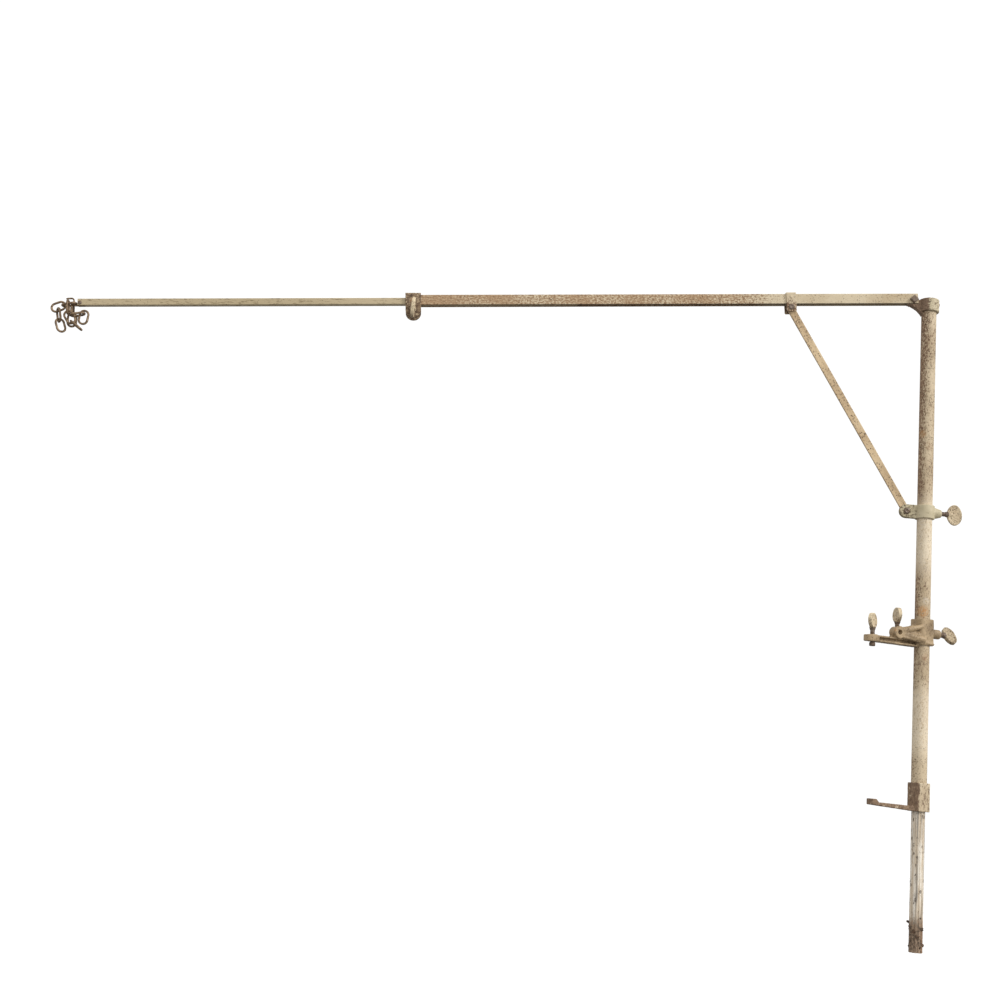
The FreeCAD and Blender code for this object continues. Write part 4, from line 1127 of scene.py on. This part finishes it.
@dataclass
class Post:
    """The post, its top bracket with the pivot bolt, and the foot jaw."""

    bench: Bench
    head: float = 11.0 * MM
    head_t: float = 5.0 * MM
    face: float = 7.8 * MM
    washer_t: float = 1.6 * MM
    nut_t: float = 6.5 * MM
    bolt_end: float = 3.0 * MM
    head_turn: float = 45.0
    nut_turn: float = -20.0
    crown: float = 0.8 * MM

    def bolt(self) -> None:
        """Square-headed pivot bolt with its washer and square nut."""
        bench, centre = self.bench, middle("pivot_washer")
        pivot = Vector((centre.x, 0.0, centre.z))
        head = bench.cube(
            "pivot_bolt_head", (self.head, self.head, self.head_t),
            (0, 0, self.face + self.head_t / 2),
        )
        bench.pick(head, lambda at, normal: normal.z > FACES_UP)
        bpy.ops.mesh.inset(thickness=self.head * 0.11, depth=self.crown)
        bench.leave()
        for vertex in head.data.vertices:
            if vertex.co.z > self.face + self.head_t:
                vertex.co.z -= self.crown
            elif vertex.co.z > self.face + self.head_t * 0.9:
                vertex.co.z -= 0.9 * MM
        bench.cast(head, 0.32 * MM, 4, 0.5 * MM, 0.2 * MM)
        before = frame_at(pivot, Vector((0, -1, 0)), Vector((1, 0, 0)))
        bench.move(head, before @ spun(self.head_turn))
        bench.smooth(head)
        bench.place(head, "post", "steel", Slot.STEEL, "pivot_bolt")
        behind = frame_at(pivot, Vector((0, 1, 0)), Vector((1, 0, 0)))
        end = self.face + self.washer_t + self.nut_t + self.bolt_end
        shank = ThreadedRod(crest=3.98 * MM, pitch=1.25 * MM).build(
            bench, "pivot_bolt_shank", -self.face, end
        )
        bench.move(shank, behind)
        bench.place(shank, "post", "steel", Slot.STEEL)
        low = self.face + self.washer_t
        high = low + self.nut_t
        nut = bench.square_nut(
            "pivot_nut_square", self.head, low, high, 0.09, 3.95 * MM, 0.32 * MM
        )
        bench.move(nut, behind @ spun(self.nut_turn))
        bench.smooth(nut)
        bench.place(nut, "post", "steel", Slot.STEEL, "pivot_nut")
        washer = StandIn("pivot_washer", "pivot_washer_worn", "post", "steel", Slot.STEEL)
        bench.eased(washer, 0.3 * MM)

    def castings(self) -> None:
        """Top bracket and foot jaw with the soft corners of sand castings."""
        bracket = StandIn(
            "top_bracket", "top_bracket_casting", "post", "bracket", Slot.CASTING, 70.0
        )
        self.bench.casting(bracket, 0.6, 6, 0.5, 0.22)
        foot = StandIn("foot_bracket", "foot_jaw_casting", "post", "foot", Slot.CREAM, 70.0)
        self.bench.casting(foot, 0.7, 5, 0.6, 0.25)

    def pin(self) -> None:
        """The bracket's cross pin, peened over on the right."""
        bench = self.bench
        low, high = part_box("bracket_pin")
        at = Vector((0.0, 0.0, (low.z + high.z) / 2))
        pin = bench.rod("bracket_pin_peened", 2.45 * MM, low.x + 0.3 * MM, high.x - 1.0 * MM)
        dome = bench.ball("dome", (3.6 * MM, 3.6 * MM, 1.5 * MM), (0, 0, high.x - 1.5 * MM))
        pin = bench.join(pin, dome)
        bench.cast(pin, 0.35 * MM, 2, 0.4 * MM, 0.2 * MM)
        bench.move(pin, frame_at(at, Vector((1, 0, 0)), Vector((0, 1, 0))))
        bench.smooth(pin)
        bench.place(pin, "post", "pin", Slot.STEEL, "bracket_pin")

    def build(self) -> None:
        """Make everything that stands still."""
        self.bench.paint("post", "post_tube")
        self.bench.paint("steel", "foot_rivets")
        self.castings()
        self.bolt()
        self.pin()


@dataclass
class Flake:
    """One sheet of rust scale that has lifted off the toe; its sizes are in millimetres."""

    height: float
    facing: float
    width: float
    length: float
    lift: float
    tilt: float


@dataclass
class Leg:
    """The fluted leg and the scale on its toe."""

    bench: Bench
    radius: float = 10.7 * MM
    flakes: tuple[Flake, ...] = (
        Flake(-0.1905, 168.0, 7.0, 4.2, 3.6, 20.0),
        Flake(-0.1975, 196.0, 8.5, 5.0, 4.2, -24.0),
        Flake(-0.2040, 236.0, 6.5, 4.5, 1.8, 35.0),
        Flake(-0.2115, 262.0, 7.5, 5.5, 1.5, -15.0),
        Flake(-0.2185, 205.0, 6.0, 4.0, 1.4, 40.0),
        Flake(-0.2000, 300.0, 6.0, 4.8, 1.6, 10.0),
        Flake(-0.2240, 318.0, 7.0, 4.5, 1.2, -30.0),
        Flake(-0.2150, 30.0, 7.5, 5.0, 1.6, 25.0),
        Flake(-0.1950, 90.0, 6.5, 4.6, 1.5, -20.0),
        Flake(-0.2280, 120.0, 8.0, 4.6, 1.3, 15.0),
    )

    def flake(self, number: int, shape: Flake) -> Piece:
        """A curled ragged sheet that stands off the leg at one edge.

        Args:
            number: Its place in the list.
            shape: Its size and place.

        Returns:
            The flake.
        """
        bench = self.bench
        sheet = bench.grid("toe_scale_" + str(number), 10, 8)
        for vertex in sheet.data.vertices:
            x, y = vertex.co.x, vertex.co.y
            ragged = 1.0 + 0.16 * math.sin(9.0 * y + number) + 0.10 * math.cos(14.0 * x + number)
            curl = (x + 0.5) ** 1.7 * shape.lift
            bow = shape.lift * 0.25 * math.cos(math.pi * y)
            flat = (x * shape.width * ragged, y * shape.length * (2.0 - ragged))
            vertex.co = Vector((*flat, curl + bow * (x + 0.5))) * MM
        bench.modify(sheet, "SOLIDIFY", thickness=0.5 * MM, offset=0.0)
        bench.lumps(sheet, 2.0 * MM, 0.5 * MM, 2)
        out = math.radians(shape.facing)
        facing = Vector((math.cos(out), math.sin(out), 0.0))
        around = Vector((-math.sin(out), math.cos(out), 0.0))
        at = facing * (self.radius + 0.1 * MM) + Vector((0, 0, shape.height))
        return bench.move(sheet, frame_at(at, facing, around) @ spun(shape.tilt))

    def build(self) -> None:
        """Paint the leg and stick the scale on."""
        self.bench.paint("leg", "inner_leg")
        sheets = [self.flake(number, shape) for number, shape in enumerate(self.flakes)]
        scale = self.bench.join(*sheets)
        scale.name = "toe_scale"
        self.bench.smooth(scale, 35.0)
        self.bench.place(scale, "leg", "scale", Slot.STEEL)


@dataclass
class Arm:
    """The outer channel with its strap hanger and end clamp."""

    bench: Bench
    half_width: float = 7.5 * MM
    strap: float = 2.3 * MM
    clamp_wall: float = 3.0 * MM
    clamp_nut: float = 13.0 * MM
    nut_t: float = 6.5 * MM

    def hanger(self) -> None:
        """The bent strap, its rivets and the tubes beside the brace."""
        bench = self.bench
        strap = bench.copy_node("strap_hanger", "strap_hanger_bent")
        bench.ease_edges(strap, 0.45 * MM)
        bench.soften(strap, 0.4 * MM, 2)
        bench.lumps(strap, 6.0 * MM, 0.4 * MM)
        bench.smooth(strap, 60.0)
        bench.place(strap, "arm", "hanger", Slot.CREAM, "strap_hanger")
        out = self.half_width + self.strap
        Rivet("brace_upper_rivet", "arm", out, 5.6 * MM, 2.4 * MM, 4.0 * MM, ringed=True).build(
            bench, [middle("brace_upper_rivet")]
        )
        Rivet(
            "strap_rivets", "arm", out, 2.9 * MM, 0.9 * MM, 2.0 * MM, inner=6.2 * MM,
            finish="hanger",
        ).build(bench, [middle("strap_rivets")])
        tubes = StandIn("brace_spacers", "brace_spacer_tubes", "arm", "steel", Slot.STEEL)
        bench.eased(tubes, 0.3 * MM)

    def end_clamp(self) -> None:
        """The cast saddle at the arm's mouth and its square nut."""
        bench = self.bench
        saddle = StandIn("end_clamp", "end_clamp_casting", "arm", "end_clamp", Slot.CREAM, 70.0)
        bench.casting(saddle, 0.6, 5, 0.6, 0.25)
        at = middle("end_clamp_nut")
        at.y = self.half_width + self.clamp_wall
        nut = bench.square_nut(
            "end_clamp_square_nut", self.clamp_nut, 0.0, self.nut_t, 0.1, 4.08 * MM, 0.35 * MM
        )
        tilt = Matrix.Rotation(-DROOP, 4, "Z")
        bench.move(nut, frame_at(at, Vector((0, 1, 0)), Vector((1, 0, 0))) @ tilt)
        bench.smooth(nut)
        bench.place(nut, "arm", "steel", Slot.STEEL, "end_clamp_nut")

    def build(self) -> None:
        """Make the arm's group."""
        self.bench.paint("arm", "outer_arm")
        self.hanger()
        self.end_clamp()
        ThumbScrew("end_clamp_thumbscrew", "end_screw_turn", "end_screw", 3.0 * MM, lean=0.08).build(
            self.bench
        )


@dataclass
class Boom:
    """The sliding inner boom."""

    bench: Bench
    half_width: float = 5.7 * MM

    def build(self) -> None:
        """Paint the boom and head its tip pin."""
        self.bench.paint("boom", "boom_bar")
        self.bench.paint("steel", "heel_rivets")
        block = StandIn("boom_heel_block", "boom_heel_block_filed", "boom", "steel", Slot.STEEL)
        self.bench.eased(block, 0.4 * MM)
        Rivet("tip_pin", "boom", self.half_width, 3.5 * MM, 1.8 * MM, 2.1 * MM).build(
            self.bench, [middle("tip_pin")]
        )


@dataclass
class Brace:
    """The flat-bar brace and the ring clamp that it ends in."""

    bench: Bench
    ear_out: float = 4.9 * MM
    ear_in: float = 2.3 * MM

    def build(self) -> None:
        """Make the brace, the ring, the ring's rivet heads and its screw."""
        bench = self.bench
        bar = StandIn("brace_bar", "brace_flat_bar", "brace", "brace", Slot.CREAM, 50.0)
        bench.eased(bar, 0.6 * MM)
        ring = StandIn("ring_clamp", "ring_clamp_casting", "ring", "ring", Slot.GREEN_CREAM, 70.0)
        bench.casting(ring, 0.6, 6, 0.45, 0.14)
        Rivet(
            "brace_lower_rivet", "ring", self.ear_out, 5.8 * MM, 2.4 * MM, 4.0 * MM,
            inner=self.ear_in, ringed=True,
        ).build(bench, [middle("brace_lower_rivet")])
        ThumbScrew("ring_thumbscrew", "ring_screw_turn", "ring_screw", lean=0.10).build(bench)


@dataclass(frozen=True)
class Limb:
    """A tapered limb between two points of the jaw's own frame, in millimetres."""

    name: str
    radii: tuple[float, float]
    start: Triple
    end: Triple

    def build(self, bench: Bench) -> Piece:
        """Turn the limb and lay it between its points."""
        low, high = Vector(self.start) * MM, Vector(self.end) * MM
        thick, thin = self.radii
        limb = bench.cone(self.name, (thick * MM, thin * MM), 0.0, (high - low).length, 24)
        return bench.move(limb, frame_at(low, high - low, Vector((0, 0.3, 1))))


@dataclass
class RailJaw:
    """The sliding jaw casting with its three thumbscrews and the swivel pad."""

    bench: Bench
    limbs: tuple[Limb, ...] = (
        Limb("ridge_upper", (8.0, 3.0), (-54.0, -4.5, 272.5), (-9.0, -13.5, 287.0)),
        Limb("saddle", (8.5, 9.0), (-50.0, -4.0, 270.0), (-12.0, -5.0, 270.0)),
        Limb("ridge_lower", (2.6, 2.2), (-48.0, -11.0, 265.0), (12.0, -15.6, 258.0)),
        Limb("belly", (7.0, 5.0), (-46.0, -6.0, 270.0), (-6.0, -14.5, 264.0)),
        Limb("rib_top", (1.6, 1.6), (-98.0, -7.2, 261.6), (-60.0, -7.2, 262.2)),
        Limb("socket_lip", (10.4, 10.6), (-56.0, -10.4, 272.0), (-56.0, -13.0, 272.0)),
    )
    mouth_r: float = 4.0 * MM
    mouth_depth: float = 20.0 * MM
    mouth_at: Triple = (-56.0, -16.0, 272.0)
    bore_r: float = 13.0 * MM
    bore_low: float = 0.240
    bore_high: float = 0.310

    def build(self) -> None:
        """Make the casting with its swept ridges, then what screws into it."""
        bench = self.bench
        yaw = Matrix.Rotation(JAW_YAW, 4, "Z")
        body = bench.copy_node("jaw_clamp", "rail_jaw_casting")
        limbs = [bench.move(limb.build(bench), yaw) for limb in self.limbs]
        mouth = bench.rod("socket_mouth", self.mouth_r, -MM, self.mouth_depth)
        mouth_at = Vector(self.mouth_at) * MM
        bench.move(mouth, yaw @ frame_at(mouth_at, Vector((0, 1, 0)), Vector((1, 0, 0))))
        bore = bench.rod("post_bore", self.bore_r, self.bore_low, self.bore_high, 96)
        body = bench.join(body, *limbs)
        bench.modify(body, "REMESH", mode="VOXEL", voxel_size=0.7 * MM)
        bench.carve(body, bore)
        bench.carve(body, mouth)
        bench.cast(body, 0.75 * MM, 6, 0.7 * MM, 0.3 * MM)
        bench.smooth(body, 70.0)
        bench.place(body, "jaw", "jaw", Slot.CASTING, "jaw_clamp")
        pad = StandIn("clamp_foot", "clamp_swivel_pad", "clamp_pad", "neck", Slot.STEEL, 60.0)
        bench.casting(pad, 0.35, 2, 0.35, 0.2)
        ThumbScrew(
            "jaw_lock_thumbscrew", "jaw_lock_turn", "jaw_lock_screw", lean=-0.10, finish="darker_spade"
        ).build(bench)
        ThumbScrew("socket_thumbscrew", "socket_screw_turn", "socket_screw", 3.0 * MM).build(bench)
        ThumbScrew(
            "clamp_thumbscrew", "clamp_screw_turn", "clamp_screw", spigot=3.0 * MM, lean=0.06
        ).build(bench)


@dataclass
class HookAndChain:
    """The bent wire hook and the rusted links on it."""

    bench: Bench
    links: int = 11

    def rusted(self, node: str, body: str) -> None:
        """Round off a wire piece and crust it with rust."""
        bench = self.bench
        wire = bench.copy_node(node, node + "_rusted")
        bench.soften(wire, 0.34 * MM, 2)
        bench.lumps(wire, 5.0 * MM, 0.45 * MM)
        bench.lumps(wire, 1.2 * MM, 0.22 * MM)
        bench.smooth(wire, 60.0)
        bench.place(wire, body, "wire", Slot.WIRE, node)

    def build(self) -> None:
        """Rust the hook and every link."""
        self.rusted("hook_wire", "hook")
        for number in range(1, self.links + 1):
            self.rusted("chain_link_" + str(number), "chain")


@dataclass
class Studio:
    """Pale floor, soft light, white air and the camera."""

    floor_drop: float = 260.0 * MM
    floor_radius: float = 14.0
    light_above: float = 0.88
    light_below: float = 0.34
    fade_low: float = -0.35
    fade_high: float = 0.25
    white_seen: float = 1.05
    paper: Colour = (0.94, 0.94, 0.94)
    paper_rough: float = 0.95
    aim: Triple = (-0.6, 0.0, 0.35)
    camera_at: Triple = (-0.79083, -2.38844, -0.00571)
    camera_turn: Triple = (100.688, -4.306, -2.507)
    lens: float = 52.2
    sensor: float = 36.0

    def floor(self) -> None:
        """A wide pale disc, below the leg at its longest, that throws no light back up."""
        bpy.ops.object.select_all(action="DESELECT")
        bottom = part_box("inner_leg")[0].z - self.floor_drop
        bpy.ops.mesh.primitive_circle_add(
            vertices=96, radius=self.floor_radius, fill_type="NGON", location=(0, 0, bottom)
        )
        floor = bpy.context.active_object
        floor.name = "studio_floor"
        floor.visible_diffuse = False
        floor.visible_glossy = False
        shading = Shading("studio_paper")
        shading.dress(
            {"Base Color": self.paper, "Roughness": self.paper_rough, "Specular IOR Level": 0.0}
        )
        floor.data.materials.append(shading.material)

    def lamp(self, name: str, kind: str, energy: float, at: Triple, size: float) -> None:
        """A soft lamp that points at the middle of the object."""
        data = bpy.data.lights.new(name, kind)
        data.energy = energy
        if kind == "SUN":
            data.angle = size
        else:
            data.size = size
        lamp = bpy.data.objects.new(name, data)
        lamp.location = at
        sight = Vector(self.aim) - Vector(at)
        lamp.rotation_euler = sight.to_track_quat("-Z", "Y").to_euler()
        bpy.context.scene.collection.objects.link(lamp)

    def world(self) -> None:
        """White behind the object, and a dimmer white that lights it mostly from above."""
        world = bpy.data.worlds.new("studio_air")
        world.use_nodes = True
        air = Nodes(world.node_tree)
        where = air.out(air.node("ShaderNodeTexCoord", {}, {}), "Generated")
        split = air.node("ShaderNodeSeparateXYZ", {}, {0: where})
        steps = (self.fade_low, self.fade_high, self.light_below, self.light_above)
        fade = air.node(
            "ShaderNodeMapRange", {}, dict(enumerate((air.out(split, "Z"), *steps)))
        )
        glow = {"Color": (1.0, 1.0, 1.0), "Strength": air.out(fade, 0)}
        light = air.node("ShaderNodeBackground", {}, glow)
        seen = air.node("ShaderNodeBackground", {}, glow | {"Strength": self.white_seen})
        path = air.out(air.node("ShaderNodeLightPath", {}, {}), "Is Camera Ray")
        mixed = (path, air.out(light, 0), air.out(seen, 0))
        mix = air.node("ShaderNodeMixShader", {}, dict(enumerate(mixed)))
        air.feed(air.tree.nodes["World Output"].inputs["Surface"], air.out(mix, 0))
        bpy.context.scene.world = world

    def camera(self) -> None:
        """The camera, low in front and looking slightly up."""
        data = bpy.data.cameras.new("studio_camera")
        data.lens = self.lens
        data.sensor_width = self.sensor
        camera = bpy.data.objects.new("studio_camera", data)
        camera.location = self.camera_at
        camera.rotation_euler = tuple(math.radians(angle) for angle in self.camera_turn)
        bpy.context.scene.collection.objects.link(camera)
        bpy.context.scene.camera = camera

    def build(self) -> None:
        """Set up the studio."""
        self.floor()
        self.lamp("key", "SUN", 1.9, (2.9, -2.3, 2.9), math.radians(16.0))
        self.lamp("soft_front", "AREA", 20.0, (-0.2, -3.4, 1.6), 2.4)
        self.world()
        self.camera()
        bpy.context.scene.view_settings.view_transform = "Standard"


def main() -> None:
    """Build everything in order."""
    logging.basicConfig(level=logging.INFO, format="%(name)s %(message)s")
    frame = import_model()
    bench = Bench(frame)
    for assembly in (Post, Leg, Arm, Boom, Brace, RailJaw, HookAndChain):
        assembly(bench).build()
    Studio().build()


if __name__ == "__main__":
    main()
